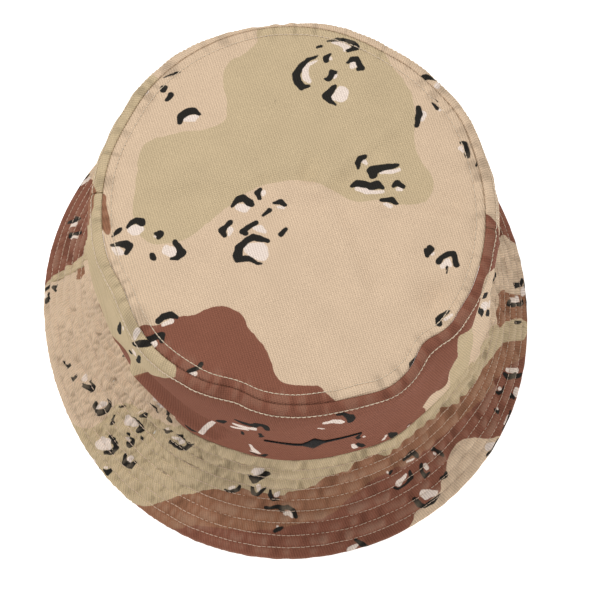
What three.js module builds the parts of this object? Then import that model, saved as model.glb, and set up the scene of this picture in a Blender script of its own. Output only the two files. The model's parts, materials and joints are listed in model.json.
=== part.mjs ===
// A cotton-twill bucket hat, built as the pieces that a cutter and a machinist would handle:
// an oval top panel, two side panels, a quilted brim in front and back halves with its stiffener
// and under panels, seam tapes, a sweatband, the rows of topstitching, a small embroidered
// ornament and two sewn-in labels that swing from their top edges.
//
// Units are millimetres and +Z is up. The front of the hat faces -Y. The origin is on the
// surface that the brim's edge rests on, under the middle of the brim.
import * as THREE from "three";

// ---------------------------------------------------------------- driving dimensions

// The three outlines that the cloth is stretched between. Each is an oval: its half width a
// along X, its half length b along Y, its middle y and its height z.
const EDGE = { a: 119, b: 127.5, y: 0, z: 0 };
const BASE = { a: 93.5, b: 95, y: 0, z: 49 };
const TOP = { a: 84.5, b: 91, y: -5, z: 129 };

const CROWN_HEIGHT = TOP.z - BASE.z;
const SHOULDER = 7; // how far the side panels roll out past the top seam before they turn down
const SHOULDER_SHARPNESS = 16; // more makes the roll tighter and closer to the top
const TOP_DOME = 5; // rise of the top panel's middle over its seam
const BRIM_FLARE = 1.7; // 1 would be a straight cone; more makes the brim flare towards its edge

const TWILL = 0.9; // one layer of shell cloth
const STIFFENER = 0.8;
const TAPE = 0.8;
const BAND = 1; // the sweatband's folded cotton
const GAP = 0.3; // air between neighbouring pieces
const FACET_SLACK = 0.3; // extra air where two neighbours are faceted at different angles

const HALF_TURN_FACETS = 24;

const BRIM_ROWS = 8;
const BRIM_FIRST_ROW = 9; // from the crown seam, over the cloth
const BRIM_ROW_PITCH = 6.35; // a quarter of an inch between rows of stitching
const CROWN_STITCH_INSET = 5; // both crown rows run this far from the top seam
const THREAD = { width: 0.6, height: 0.5 };

const SWEATBAND_HEIGHT = 32;
const SEAM_TAPE = { inside: 8, outside: 2.6, fall: 2.4 }; // reach each side of the top seam
const SIDE_TAPE_HALF_ANGLE = THREE.MathUtils.degToRad(3.75);

const BACK = Math.PI / 2;
const FRONT = 1.5 * Math.PI;

// The two side seams sit a little round from the hat's sides.
const SEAM_TWIST = THREE.MathUtils.degToRad(-6.5);
const RIGHT_SEAM = SEAM_TWIST;
const LEFT_SEAM = Math.PI + SEAM_TWIST;

// Two labels hang inside, each from a sewn top edge just above the sweatband.
const CARE_LABEL = { name: "care_label", at: BACK, width: 28, height: 32, thick: 0.5 };
const SIZE_LABEL = {
  name: "size_label",
  at: BACK - THREE.MathUtils.degToRad(20),
  width: 14,
  height: 16,
  thick: 0.5,
};
const LABEL_EDGE_DEPTH = 4.6; // from the crown's outside to a label's middle plane, at its top edge

// The embroidered ornament: a diamond in the middle of a bar that tapers at both ends.
const ORNAMENT = { height: 38, reach: 22, diamond: 6, diamondHalf: 8, barHalf: 1.6, tipHalf: 0.5 };
const ORNAMENT_AT = FRONT + THREE.MathUtils.degToRad(4);
const ORNAMENT_THICK = 0.6;
const ORNAMENT_FACETS = 24;

// ---------------------------------------------------------------- materials

function cloth(colour, roughness = 0.9) {
  return new THREE.MeshStandardMaterial({ color: colour, roughness, metalness: 0 });
}

const TAN_TWILL = cloth(0xcdb592);
const BROWN_TWILL = cloth(0x85594a);
const STIFFENER_FELT = cloth(0xe6e2d8);
const COTTON_TAPE = cloth(0xb9a682);
const THREAD_COLOUR = cloth(0xdcc6a8, 0.7);
const EMBROIDERY_THREAD = cloth(0x22221f, 0.6);
const LABEL_SATIN = cloth(0xf0ede6, 0.5);

// ---------------------------------------------------------------- the hat's surfaces

function blend(from, to, share) {
  return from + (to - from) * share;
}

// A point of the outside surface between two outlines. rise is the share of the height gained,
// spread the share of the outline's growth, and swell an extra push outwards.
function between(low, high, theta, rise, spread, swell = 0) {
  const a = blend(low.a, high.a, spread) + swell;
  const b = blend(low.b, high.b, spread) + swell;
  const y = blend(low.y, high.y, spread);
  const z = blend(low.z, high.z, rise);
  return new THREE.Vector3(a * Math.cos(theta), y + b * Math.sin(theta), z);
}

// The crown's side: along runs from 0 at the brim seam to 1 at the top seam. It goes up almost
// straight, and rolls over a round shoulder to the seam.
function crownSide(theta, along) {
  const roll = Math.sqrt(Math.max(0, 1 - along ** SHOULDER_SHARPNESS));
  return between(BASE, TOP, theta, along, along, SHOULDER * along * roll);
}

// The brim: along runs from 0 at the crown to 1 at the edge.
function brimTop(theta, along) {
  return between(BASE, EDGE, theta, along, Math.abs(along) ** BRIM_FLARE);
}

// A point that lies depth under a surface, measured square to it. Nothing goes below the floor.
function under(surface, theta, along, depth) {
  const step = 1e-3;
  const here = surface(theta, along);
  const round = surface(theta + step, along).sub(surface(theta - step, along));
  const up = surface(theta, along + step).sub(surface(theta, Math.max(0, along - step)));
  const normal = new THREE.Vector3().crossVectors(round, up).normalize();
  const outwards = new THREE.Vector3(Math.cos(theta), Math.sin(theta), 0);
  const side = Math.sign(normal.dot(outwards));
  const point = here.addScaledVector(normal, -side * depth);
  point.z = Math.max(point.z, EDGE.z);
  return point;
}

const underCrown = (theta, along, depth) => under(crownSide, theta, along, depth);
const underBrim = (theta, along, depth) => under(brimTop, theta, along, depth);

// A point a given distance in from the top seam's outline, and a given drop below it.
function insideTop(theta, inset, drop) {
  const a = TOP.a - inset;
  const b = TOP.b - inset;
  return new THREE.Vector3(a * Math.cos(theta), TOP.y + b * Math.sin(theta), TOP.z - drop);
}

function domeAt(share) {
  return TOP_DOME * (1 - share * share);
}

// How far along the brim, from 0 to 1, a point lies that is mm from the crown seam over the cloth.
function alongBrim(mm) {
  const step = 1e-3;
  let along = 0;
  let walked = 0;
  while (walked < mm && along < 1) {
    walked += brimTop(BACK, along + step).distanceTo(brimTop(BACK, along));
    along += step;
  }
  return along;
}

// ---------------------------------------------------------------- solids

function steps(from, to, rows) {
  return Array.from({ length: rows + 1 }, (_, i) => blend(from, to, i / rows));
}

// The section of one layer of cloth: [along, depth] pairs down one face and back up the other.
function layer(alongs, outer, inner) {
  const outerFace = alongs.map((along) => [along, outer]);
  const innerFace = alongs.map((along) => [along, inner]);
  return [...outerFace, ...innerFace.reverse()];
}

// The triangles that close one end of a sweep, wound the same way as the section itself.
function capOf(section, place, theta) {
  const outline = section.map(([along, depth]) => {
    const point = place(theta, along, depth);
    return new THREE.Vector2(point.x * Math.cos(theta) + point.y * Math.sin(theta), point.z);
  });
  const wanted = Math.sign(THREE.ShapeUtils.area(outline));
  return THREE.ShapeUtils.triangulateShape([...outline], []).map(([i, j, k]) => {
    const turns = Math.sign(THREE.ShapeUtils.area([outline[i], outline[j], outline[k]]));
    return turns === wanted ? [i, j, k] : [i, k, j];
  });
}

function volumeOf(positions, index) {
  const corner = (i) => new THREE.Vector3().fromArray(positions, 3 * index[i]);
  let volume = 0;
  for (let i = 0; i < index.length; i += 3)
    volume += corner(i).dot(corner(i + 1).cross(corner(i + 2))) / 6;
  return volume;
}

// Sweeps a closed section round the hat. sectionAt(theta) gives its [along, depth] pairs and
// place(theta, along, depth) puts each in space. A full turn closes on itself, and a part turn
// is capped at both ends.
function sweep(sectionAt, place, from, to, facets) {
  const full = Math.abs(to - from - 2 * Math.PI) < 1e-6;
  const rings = full ? facets : facets + 1;
  const count = sectionAt(from).length;
  const positions = [];
  for (let i = 0; i < rings; i++) {
    const theta = blend(from, to, i / facets);
    for (const [along, depth] of sectionAt(theta))
      positions.push(...place(theta, along, depth).toArray());
  }
  const index = [];
  for (let i = 0; i < facets; i++) {
    const here = i * count;
    const next = ((i + 1) % rings) * count;
    for (let j = 0; j < count; j++) {
      const k = (j + 1) % count;
      index.push(here + j, here + k, next + k);
      index.push(here + j, next + k, next + j);
    }
  }
  if (!full) {
    const last = (rings - 1) * count;
    for (const [i, j, k] of capOf(sectionAt(from), place, from)) index.push(i, k, j);
    for (const [i, j, k] of capOf(sectionAt(to), place, to)) index.push(last + i, last + j, last + k);
  }
  if (volumeOf(positions, index) < 0) index.reverse();
  const geometry = new THREE.BufferGeometry();
  geometry.setAttribute("position", new THREE.Float32BufferAttribute(positions, 3));
  geometry.setIndex(index);
  geometry.computeVertexNormals();
  return geometry;
}

const hat = new THREE.Group();

function add(name, geometry, material, parent = hat) {
  const mesh = new THREE.Mesh(geometry, material);
  mesh.name = name;
  parent.add(mesh);
  return mesh;
}

function addRing(name, section, place, material) {
  const end = RIGHT_SEAM + 2 * Math.PI;
  add(name, sweep(() => section, place, RIGHT_SEAM, end, 2 * HALF_TURN_FACETS), material);
}

// A front and a back half of the same panel, with the side seams' gap between them.
function addHalves(name, section, place, material) {
  const seam = GAP / 2 / BASE.b;
  for (const [half, from] of [["front", LEFT_SEAM], ["back", RIGHT_SEAM]]) {
    const geometry = sweep(
      () => section,
      place,
      from + seam,
      from + Math.PI - seam,
      HALF_TURN_FACETS,
    );
    add(`${name}_${half}`, geometry, material);
  }
}

// ---------------------------------------------------------------- the crown

// The oval top panel: a slightly domed disc, turned as a unit circle and stretched to the oval.
function addCrownTop() {
  const rings = 5;
  const shares = Array.from({ length: rings + 1 }, (_, i) => i / rings);
  const lower = shares.map((s) => new THREE.Vector2(s, domeAt(s) - TWILL));
  const upper = shares.reverse().map((s) => new THREE.Vector2(s, domeAt(s)));
  const panel = new THREE.LatheGeometry([...lower, ...upper], 2 * HALF_TURN_FACETS);
  panel.rotateX(Math.PI / 2);
  panel.scale(TOP.a, TOP.b, 1);
  add("crown_top", panel, TAN_TWILL).position.set(0, TOP.y, TOP.z);
}

function addCrownSides() {
  const shoulder = [0.9, 0.95, 0.98, 0.995, 0.9999];
  const alongs = [GAP / CROWN_HEIGHT, 0.2, 0.4, 0.6, 0.8, ...shoulder];
  addHalves("crown_side", layer(alongs, 0, TWILL), underCrown, BROWN_TWILL);
}

// Cotton tape that lies flat over the raw edges of the top seam inside.
function addTopSeamTape() {
  const drop = TWILL + GAP;
  const face = (d) => [[SEAM_TAPE.inside, d], [0, d], [-SEAM_TAPE.outside, d + SEAM_TAPE.fall]];
  const section = [...face(drop), ...face(drop + TAPE).reverse()];
  addRing("top_seam_tape", section, insideTop, COTTON_TAPE);
}

function addSideSeamTapes() {
  const bottom = (SWEATBAND_HEIGHT + 2) / CROWN_HEIGHT;
  const outer = TWILL + GAP + FACET_SLACK;
  const section = layer(steps(bottom, 0.83, 3), outer, outer + TAPE);
  for (const [side, at] of [["left", LEFT_SEAM], ["right", RIGHT_SEAM]]) {
    const tape = sweep(
      () => section,
      underCrown,
      at - SIDE_TAPE_HALF_ANGLE,
      at + SIDE_TAPE_HALF_ANGLE,
      2,
    );
    add(`side_seam_tape_${side}`, tape, COTTON_TAPE);
  }
}

function addSweatband() {
  const bottom = 2 * GAP / CROWN_HEIGHT;
  const top = SWEATBAND_HEIGHT / CROWN_HEIGHT;
  const outer = TWILL + GAP;
  const section = layer(steps(bottom, top, 2), outer, outer + BAND);
  addRing("sweatband", section, underCrown, COTTON_TAPE);
}

function addOrnament() {
  const middle = ORNAMENT.height / CROWN_HEIGHT;
  const radius = BASE.a; // the front of the crown curves about like the oval's half width
  const halfHeight = (theta) => {
    const u = Math.abs(theta - ORNAMENT_AT) * radius;
    const diamond = blend(ORNAMENT.diamondHalf, 0, u / ORNAMENT.diamond);
    const bar = blend(ORNAMENT.barHalf, ORNAMENT.tipHalf, u / ORNAMENT.reach);
    return Math.max(diamond, bar) / CROWN_HEIGHT;
  };
  const outer = -GAP - FACET_SLACK;
  const section = (theta) => {
    const ends = [middle - halfHeight(theta), middle + halfHeight(theta)];
    return layer(ends, outer, outer - ORNAMENT_THICK);
  };
  const half = ORNAMENT.reach / radius;
  const solid = sweep(section, underCrown, ORNAMENT_AT - half, ORNAMENT_AT + half, ORNAMENT_FACETS);
  add("front_ornament", solid, EMBROIDERY_THREAD);
}

// ---------------------------------------------------------------- the brim

// The layers of the brim bend at the same places, so that their facets stay parallel.
function brimStepsTo(end) {
  const shortest = 0.02;
  return [...steps(0, 1, 6).filter((along) => along < end - shortest), end];
}

// The upper panel is turned round the edge, so that it ends in a narrow rolled hem that holds
// the stiffener and the under panel, and that the hat rests on.
function addBrim() {
  const stiffenerAt = TWILL + GAP;
  const underAt = stiffenerAt + STIFFENER + GAP;
  const hemInner = underAt + TWILL + GAP;
  const hemOuter = hemInner + TWILL;

  const outerFace = brimStepsTo(1).map((along) => [along, 0]);
  const hem = [[0.95, hemOuter], [0.9, hemOuter], [0.9, hemInner], [0.94, hemInner]];
  const innerFace = brimStepsTo(0.9716).map((along) => [along, TWILL]);
  const upper = [...outerFace, ...hem, ...innerFace.reverse()];
  addHalves("brim_top", upper, underBrim, BROWN_TWILL);

  const stiffener = layer(brimStepsTo(0.95), stiffenerAt, stiffenerAt + STIFFENER);
  addHalves("brim_stiffener", stiffener, underBrim, STIFFENER_FELT);

  const lower = layer(brimStepsTo(0.935), underAt, underAt + TWILL);
  addHalves("brim_under", lower, underBrim, TAN_TWILL);
}

// ---------------------------------------------------------------- topstitching

// A row of thread that lies on a surface, as one fine closed ring of square section.
function threadSection(along, length) {
  const half = THREAD.width / 2 / length;
  return layer([along - half, along + half], -GAP, -GAP - THREAD.height);
}

function addStitching() {
  const brimWidth = BRIM_FIRST_ROW + BRIM_ROWS * BRIM_ROW_PITCH;
  for (let row = 0; row < BRIM_ROWS; row++) {
    const section = threadSection(alongBrim(BRIM_FIRST_ROW + row * BRIM_ROW_PITCH), brimWidth);
    addRing(`brim_stitch_row_${row + 1}`, section, underBrim, THREAD_COLOUR);
  }
  // The lower crown row lies on the shoulder, which it crosses at a slant.
  const below = threadSection(0.97, CROWN_HEIGHT);
  addRing("crown_stitch_lower", below, underCrown, THREAD_COLOUR);

  const share = 1 - CROWN_STITCH_INSET / TOP.a;
  const lift = -domeAt(share) - GAP;
  const insets = [CROWN_STITCH_INSET + THREAD.width / 2, CROWN_STITCH_INSET - THREAD.width / 2];
  const above = layer(insets, lift, lift - THREAD.height);
  addRing("crown_stitch_upper", above, insideTop, THREAD_COLOUR);
}

// ---------------------------------------------------------------- labels

// A flat label that hangs straight down from its sewn top edge, turned to face the wall.
function addLabel({ name, at, width, height, thick }) {
  const along = (SWEATBAND_HEIGHT + 1) / CROWN_HEIGHT;
  const edge = underCrown(at, along, LABEL_EDGE_DEPTH);
  const tangent = underCrown(at + 1e-3, along, LABEL_EDGE_DEPTH).sub(edge).normalize();
  const holder = new THREE.Group();
  holder.position.copy(edge);
  holder.rotation.z = Math.atan2(tangent.y, tangent.x);
  const label = add(name, new THREE.BoxGeometry(width, thick, height), LABEL_SATIN, holder);
  label.position.z = -height / 2;
  hat.add(holder);
}

addCrownTop();
addCrownSides();
addTopSeamTape();
addSideSeamTapes();
addSweatband();
addOrnament();
addBrim();
addStitching();
addLabel(CARE_LABEL);
addLabel(SIZE_LABEL);

export default hat;
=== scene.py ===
import json
import math

import bpy
import numpy as np
from mathutils import Matrix, Vector


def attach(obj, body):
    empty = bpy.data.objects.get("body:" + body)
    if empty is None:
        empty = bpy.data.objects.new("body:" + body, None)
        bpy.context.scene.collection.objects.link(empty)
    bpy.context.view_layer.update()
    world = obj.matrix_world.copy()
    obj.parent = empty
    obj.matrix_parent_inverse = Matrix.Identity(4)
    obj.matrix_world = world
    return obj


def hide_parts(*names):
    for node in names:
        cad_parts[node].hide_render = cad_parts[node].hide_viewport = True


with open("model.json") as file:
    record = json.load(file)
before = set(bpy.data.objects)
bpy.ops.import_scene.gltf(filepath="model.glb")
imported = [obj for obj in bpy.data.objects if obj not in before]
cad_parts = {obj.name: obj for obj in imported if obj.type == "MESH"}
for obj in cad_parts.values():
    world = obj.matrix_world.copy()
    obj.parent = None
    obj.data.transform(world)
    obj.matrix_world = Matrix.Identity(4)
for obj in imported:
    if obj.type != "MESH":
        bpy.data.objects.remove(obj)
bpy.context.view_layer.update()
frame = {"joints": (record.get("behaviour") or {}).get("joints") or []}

# A cotton-twill bucket hat with a desert pebble print. All shapes below are in millimetres, in the
# CAD model's frame, and become metres when a piece is made. Angles round the hat are in degrees from
# the front (-Y), growing towards +X. Left and right are those of someone who faces the hat's front.

MM = 0.001

# ---------------------------------------------------------------- driving dimensions

# Three ovals, each with its half width a, half length b and middle (y, z): the brim's edge, the
# crown's base and the seam round its top.
EDGE = {"a": 119, "b": 127.5, "y": 0, "z": 0}
BASE = {"a": 93.5, "b": 95, "y": 0, "z": 49}
TOP = {"a": 84.5, "b": 91, "y": -5, "z": 129}
SHOULDER = 7  # how far the crown's side bellies out below the top seam
SHOULDER_SHARPNESS = 16
BACK_SHOULDER = -173  # where the shoulder is flatter, at the back
TOP_DOME = 5
BRIM_FLARE = 1.7
INSIDE = np.array([0, 0, 30.0])  # a point that every surface faces away from

TWILL = 0.8  # the printed cloth's thickness
STIFFENER_DEPTHS = (1.1, 1.9)  # a layer's two faces, below the brim's upper surface
UNDER_DEPTHS = (2.3, 3.1)
STIFFENER_SHORT = 4.5  # how far a layer stops short of the brim's edge
UNDER_SHORT = 4.0
HEM_DEPTH = 3.6
HEM_WIDTH = 5

FIRST_ROW = 9  # from the crown seam to the brim's first row of stitching
ROW_PITCH = 6.35
ROWS = 8
UPPER_STITCH_INSET = 4.2  # from the top seam to the row on the top panel
LOWER_STITCH_INSET = 6  # and to the row on the side

SEAM_TWIST = -6.5
LEFT_SEAM = -90 + SEAM_TWIST
RIGHT_SEAM = 90 + SEAM_TWIST
HALVES = (("front", LEFT_SEAM, RIGHT_SEAM), ("back", RIGHT_SEAM, LEFT_SEAM + 360))

# Mean radii, which set how many points go round a piece.
CROWN_RADIUS = 88
SIDE_RADIUS = 94
BAND_RADIUS = 92
BRIM_RADIUS = 112
LAYER_RADIUS = 108

GRAIN = 0.85  # spacing of the mesh's points over the printed cloth
LAYER_GRAIN = GRAIN * 1.5  # and over the brim's hidden layers
LINING_GRAIN = 1.6  # and inside the crown

SIDE_SCALE = 1.64  # millimetres of print to a degree round the crown
BRIM_SCALE = 1.885  # and round the brim
FOLD_SCALE = 1.62  # millimetres to a degree for the folds on the crown's side

# ---------------------------------------------------------------- colours

def linear(hex_colour):
    """A colour written as in a picture, made linear for a shader."""
    parts = [int(hex_colour[i : i + 2], 16) / 255 for i in (1, 3, 5)]
    return [c / 12.92 if c <= 0.04045 else ((c + 0.055) / 1.055) ** 2.4 for c in parts] + [1]


TAN = linear("#d6bca0")
KHAKI = linear("#c5b08e")
MID_BROWN = linear("#976b52")
DARK_BROWN = linear("#875746")
PEBBLE = linear("#e9d8cb")
BLACK = linear("#2b2926")
# The print's layers, each one over those before it. The cloth is tan under them all.
PAINTS = (
    ("khaki", KHAKI), ("mid", MID_BROWN), ("dark", DARK_BROWN), ("tan", TAN), ("pebble", PEBBLE),
    ("black", BLACK),
)
WORN = linear("#d9c3a8")
CLOTH_BACK = linear("#cdb999")

# ---------------------------------------------------------------- seeded noise

def noise(u, v, seed, wrap=256, wrap_v=64):
    """Smooth noise from -1 to 1, one cell a unit, that repeats every wrap cells along u."""
    table = np.random.RandomState(seed).uniform(-1, 1, (wrap, wrap_v))
    u, v = np.broadcast_arrays(np.asarray(u, float), np.asarray(v, float))
    iu, iv = np.floor(u).astype(int), np.floor(v).astype(int)
    fu, fv = u - iu, v - iv
    fu, fv = fu * fu * (3 - 2 * fu), fv * fv * (3 - 2 * fv)

    def cell(du, dv):
        return table[(iu + du) % wrap, (iv + dv) % wrap_v]

    low = cell(0, 0) * (1 - fu) + cell(1, 0) * fu
    high = cell(0, 1) * (1 - fu) + cell(1, 1) * fu
    return low * (1 - fv) + high * fv


def round_noise(theta, v, cells, seed):
    """Noise round the hat: theta in radians, cells round the whole turn."""
    return noise(np.asarray(theta) / (2 * np.pi) * cells, v, seed, wrap=cells)


def bump(x, middle, half_width):
    """1 at the middle, falling smoothly to nothing."""
    return np.exp(-(((np.asarray(x) - middle) / half_width) ** 2))


def turn_from(theta, degrees_from_front):
    """The signed angle in degrees from a direction to theta."""
    away = np.degrees(theta) + 90 - degrees_from_front
    return (away + 180) % 360 - 180


# ---------------------------------------------------------------- the hat's surfaces

def angle(degrees_from_front):
    """Degrees from the front as radians from +X."""
    return np.radians(np.asarray(degrees_from_front, float) - 90)


# Where the worn hat's seams stand off their ovals: (degrees from front, half width, millimetres out).
TOP_SEAM_PULLS = [
    (-66, 8, -2.3), (-45, 9, 1.2), (-20, 7, -2.7), (26, 8, 2.2), (42.5, 6.5, -4.4), (57, 5, -0.8),
    (118, 9, 1.2), (150, 10, -1.0), (-120, 9, -0.8),
]
BASE_SEAM_PULLS = [
    (-65, 19, -7.5), (-45, 9, -4.0), (-21, 12, -1.5), (28, 8, 1.4), (68, 14, 3.6), (130, 20, -2.0),
    (-150, 18, 1.5),
]


def pulled(theta, pulls):
    """How far the pulls move a seam out at each angle."""
    return sum(height * bump(turn_from(theta, at), 0, half_width) for at, half_width, height in pulls)


def oval(low, high, theta, rise, spread, swell):
    """Points round an oval between two others, by separate shares in height and in spread."""
    def mix(key, share):
        return low[key] + (high[key] - low[key]) * share

    x = (mix("a", spread) + swell) * np.cos(theta)
    y = mix("y", spread) + (mix("b", spread) + swell) * np.sin(theta)
    return np.stack(np.broadcast_arrays(x, y, mix("z", rise)), -1)


def crown_side(theta, along):
    """along runs from 0 at the crown's base to 1 at the top seam."""
    roll = np.sqrt(np.clip(1 - np.abs(along) ** SHOULDER_SHARPNESS, 0, None))
    flatter = 0.5 * bump(turn_from(theta, BACK_SHOULDER), 0, 17)
    shoulder = SHOULDER * (1 - flatter) * along * roll
    pull = pulled(theta, TOP_SEAM_PULLS) * along**3 + pulled(theta, BASE_SEAM_PULLS) * (1 - along) ** 3
    return oval(BASE, TOP, theta, along, along, shoulder + pull)


def brim(theta, along):
    """along runs from 0 at the crown's base to 1 at the brim's edge."""
    pull = pulled(theta, BASE_SEAM_PULLS) * np.clip(1 - along, 0, 1) ** 3
    return oval(BASE, EDGE, theta, along, np.abs(along) ** BRIM_FLARE, pull)


def crown_top(theta, share):
    """share runs from 0 in the middle to 1 at the seam."""
    pull = pulled(theta, TOP_SEAM_PULLS) * share**5
    x = (TOP["a"] * share + pull) * np.cos(theta)
    y = TOP["y"] + (TOP["b"] * share + pull) * np.sin(theta)
    return np.stack(np.broadcast_arrays(x, y, TOP["z"] + TOP_DOME * (1 - share**2)), -1)


class Meridian:
    """Turns a distance over the cloth, up the side or out over the brim, into a surface's share."""

    def __init__(self, surface):
        self.surface = surface
        self.along = np.linspace(0, 1, 4001)
        points = surface(angle(0.0), self.along)
        steps = np.linalg.norm(np.diff(points, axis=0), axis=1)
        self.over = np.concatenate([[0], np.cumsum(steps)])
        self.length = self.over[-1]

    def at(self, over):
        return np.interp(over, self.over, self.along)

    def point(self, theta, over):
        return self.surface(theta, self.at(over))


SIDE = Meridian(crown_side)
BRIM = Meridian(brim)


def normals(grid):
    """Unit normals of a (rows, columns, 3) grid of points."""
    down, across = np.gradient(grid, axis=0), np.gradient(grid, axis=1)
    n = np.cross(down, across)
    return n / np.maximum(np.linalg.norm(n, axis=-1, keepdims=True), 1e-9)


def outward(grid, n):
    """The normals, turned to point away from the inside of the crown."""
    away = grid - INSIDE
    return n * np.sign((n * away).sum(-1, keepdims=True))


def lifted(surface_point, theta, v, lift):
    """Points of a surface moved out along its normals by lift, all in (rows, columns) grids."""
    base = surface_point(theta, v)
    turn, step = 1e-3, 0.05
    round_it = surface_point(theta + turn, v) - surface_point(theta - turn, v)
    # The step back never leaves the start of the cloth.
    along_it = surface_point(theta, v + step) - surface_point(theta, np.maximum(v - step, 0))
    n = np.cross(round_it, along_it)
    n /= np.maximum(np.linalg.norm(n, axis=-1, keepdims=True), 1e-9)
    return base + outward(base, n) * np.asarray(lift)[..., None]


def upward(surface_point, theta, v):
    """Unit steps away from a surface."""
    return lifted(surface_point, theta, v, np.ones_like(v)) - surface_point(theta, v)


# ---------------------------------------------------------------- relief of the cloth

def row_places():
    """Where the rows of stitching run, out from the crown seam."""
    return [FIRST_ROW + ROW_PITCH * i for i in range(ROWS)]


def brim_waves(theta, over):
    """The brim's slow waves, shared by all its layers."""
    share = np.clip(over / BRIM.length, 0, 1)
    return 1.1 * share * round_noise(theta, over / 60, 9, 11) + 0.5 * round_noise(theta, over / 30, 23, 12)


def row_cell(over):
    """Which channel between rows of stitching a place lies in, and how far across it."""
    edges = np.array([0] + row_places() + [BRIM.length])
    cell = np.clip(np.searchsorted(edges, over, side="right") - 1, 0, len(edges) - 2)
    return cell, np.clip((over - edges[cell]) / (edges[cell + 1] - edges[cell]), 0, 1)


def brim_relief(theta, over):
    """Puffs between the rows of stitching, and the puckers that the thread pulls into them."""
    cell, inside = row_cell(over)
    puff = np.sin(np.pi * inside) ** 0.7
    # The left front is the most puckered, with slanting ridges.
    left = bump(turn_from(theta, -58), 0, 42)
    slant = 0.9 * inside * left + 0.2 * inside
    turns = theta / (2 * np.pi)
    pucker = noise(turns * 168 + slant, cell * 3.7 + 0.5, 21, wrap=168)
    pucker = pucker + 0.6 * noise(turns * 250 - slant, cell * 5.3 + 0.5, 22, wrap=250)
    ridges = left * np.sin(2 * np.pi * (turns * 190 + over / 14 + 0.6 * pucker))
    blobs = noise(turns * 140 + over / 12, over / 4.2, 23, wrap=140)
    near_crown = 0.5 * bump(over, 10, 16)
    depth = 1.0 + 0.4 * left + near_crown
    # The hem lies nearly flat.
    calm_hem = np.clip((BRIM.length - 1 - over) / 6, 0.15, 1)
    puckered = depth * (1 - 0.3 * left) * pucker + 0.8 * ridges
    relief = puff * (0.55 + 0.35 * left + puckered) + (0.15 + 0.2 * left) * blobs
    return calm_hem * relief - 0.4


def brim_skin(theta, over):
    lift = brim_waves(theta, over) + brim_relief(theta, over)
    return lifted(BRIM.point, theta, over, lift)


def under_relief(theta, over):
    """Puffs that hang down below the brim between the rows of stitching."""
    cell, inside = row_cell(over)
    pucker = round_noise(theta, cell * 2.9 + 0.5, 118, 25)
    return np.sin(np.pi * inside) ** 0.7 * (0.7 + 0.5 * pucker)


def seam_ridge(distance, stitched_at):
    """The cloth's height beside a flat-felled seam: sunk at the seam and at its stitching."""
    d = np.abs(distance)
    groove = -0.3 * np.exp(-((d / 0.45) ** 2))
    puff = 0.2 * bump(d, stitched_at / 2, stitched_at / 3)
    stitch = -0.3 * bump(d, stitched_at, 0.7)
    return groove + puff + stitch


FOLD_STRENGTH = 1.3  # multiplies every lift below
# Soft folds on the side: (degrees from front, height, degrees, height, half width, lift)
SIDE_FOLDS = [
    (-50, 46, -23, 24, 3.5, 2.8),
    (-46, 54, -22, 36, 4, -1.2),
    (-88, 66, -70, 30, 6, -1.4),
    (-82, 70, -60, 50, 5, 1.2),
    (48, 60, 30, 22, 9, 1.2),
    (66, 66, 52, 26, 8, -1.2),
    (-6, 60, 6, 22, 10, 0.8),
    (120, 60, 135, 16, 8, 1.4),
    (165, 64, 176, 20, 9, -1.2),
    (-150, 60, -128, 20, 8, 1.2),
]


def fold(x, y, x0, y0, x1, y1, half_width):
    """1 on a line between two points and falling off beside it and beyond its ends."""
    dx, dy = x1 - x0, y1 - y0
    share = ((x - x0) * dx + (y - y0) * dy) / (dx * dx + dy * dy)
    near = np.clip(share, 0, 1)
    distance = np.hypot(x - x0 - near * dx, y - y0 - near * dy)
    return np.exp(-((distance / half_width) ** 2))


def side_relief(theta, over):
    """Slow waves, the folds, gathers under the top seam, and the seams themselves."""
    lift = 0.55 * round_noise(theta, over / 34, 17, 31)
    lift = lift + 0.25 * round_noise(theta, over / 15, 41, 32)
    for d0, h0, d1, h1, half_width, height in SIDE_FOLDS:
        middle = (d0 + d1) / 2
        x = turn_from(theta, middle) * FOLD_SCALE
        x0, x1 = (d0 - middle) * FOLD_SCALE, (d1 - middle) * FOLD_SCALE
        lift = lift + FOLD_STRENGTH * height * fold(x, over, x0, h0, x1, h1, half_width)
    from_seam = SIDE.length - over
    lift = lift * np.clip(from_seam / 14, 0, 1) * np.clip(over / 8, 0, 1)
    gathers = round_noise(theta, over / 9, 110, 33) * bump(from_seam, 9, 5)
    gathers = gathers + 1.3 * round_noise(theta, over / 5, 150, 34) * bump(from_seam, 3, 2)
    base_seam = -0.5 * np.exp(-((over / 1.2) ** 2))
    seams = 0
    for at in (LEFT_SEAM, RIGHT_SEAM):
        from_side_seam = np.abs(turn_from(theta, at)) * FOLD_SCALE
        seams = seams - 0.45 * bump(from_side_seam, 0, 0.6) + 0.2 * bump(from_side_seam, 3, 1.6)
    return lift + 0.4 * gathers + seam_ridge(from_seam, LOWER_STITCH_INSET) + base_seam + seams


def side_skin(theta, over):
    return lifted(SIDE.point, theta, over, side_relief(theta, over))


CREASE_STRENGTH = 1.4  # multiplies every lift below
# The top panel's soft creases, most of them out from one pinch: (x, y, x, y, half width, lift)
TOP_CREASES = [
    (10, 10, 50, 42, 5, 1.0),
    (14, 4, 44, 30, 6, -0.6),
    (12, 6, 76, -10, 4.5, 0.9),
    (14, 12, 70, 2, 6, -0.7),
    (14, 4, 27, -40, 5, 0.9),
    (22, 0, 38, -34, 7, -0.6),
    (2, 12, -62, 16, 7, 0.9),
    (-2, 4, -60, 4, 8, -0.6),
    (8, 14, -12, 12, 4, -1.1),
    (6, 14, 8, 22, 4, -0.9),
    (62, -45, 66, -52, 9, -2.4),
    (74, -30, 78, -44, 6, 1.2),
    (-70, -40, -50, -62, 8, -0.8),
    (-56, 64, -36, 76, 7, 0.8),
]


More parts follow.
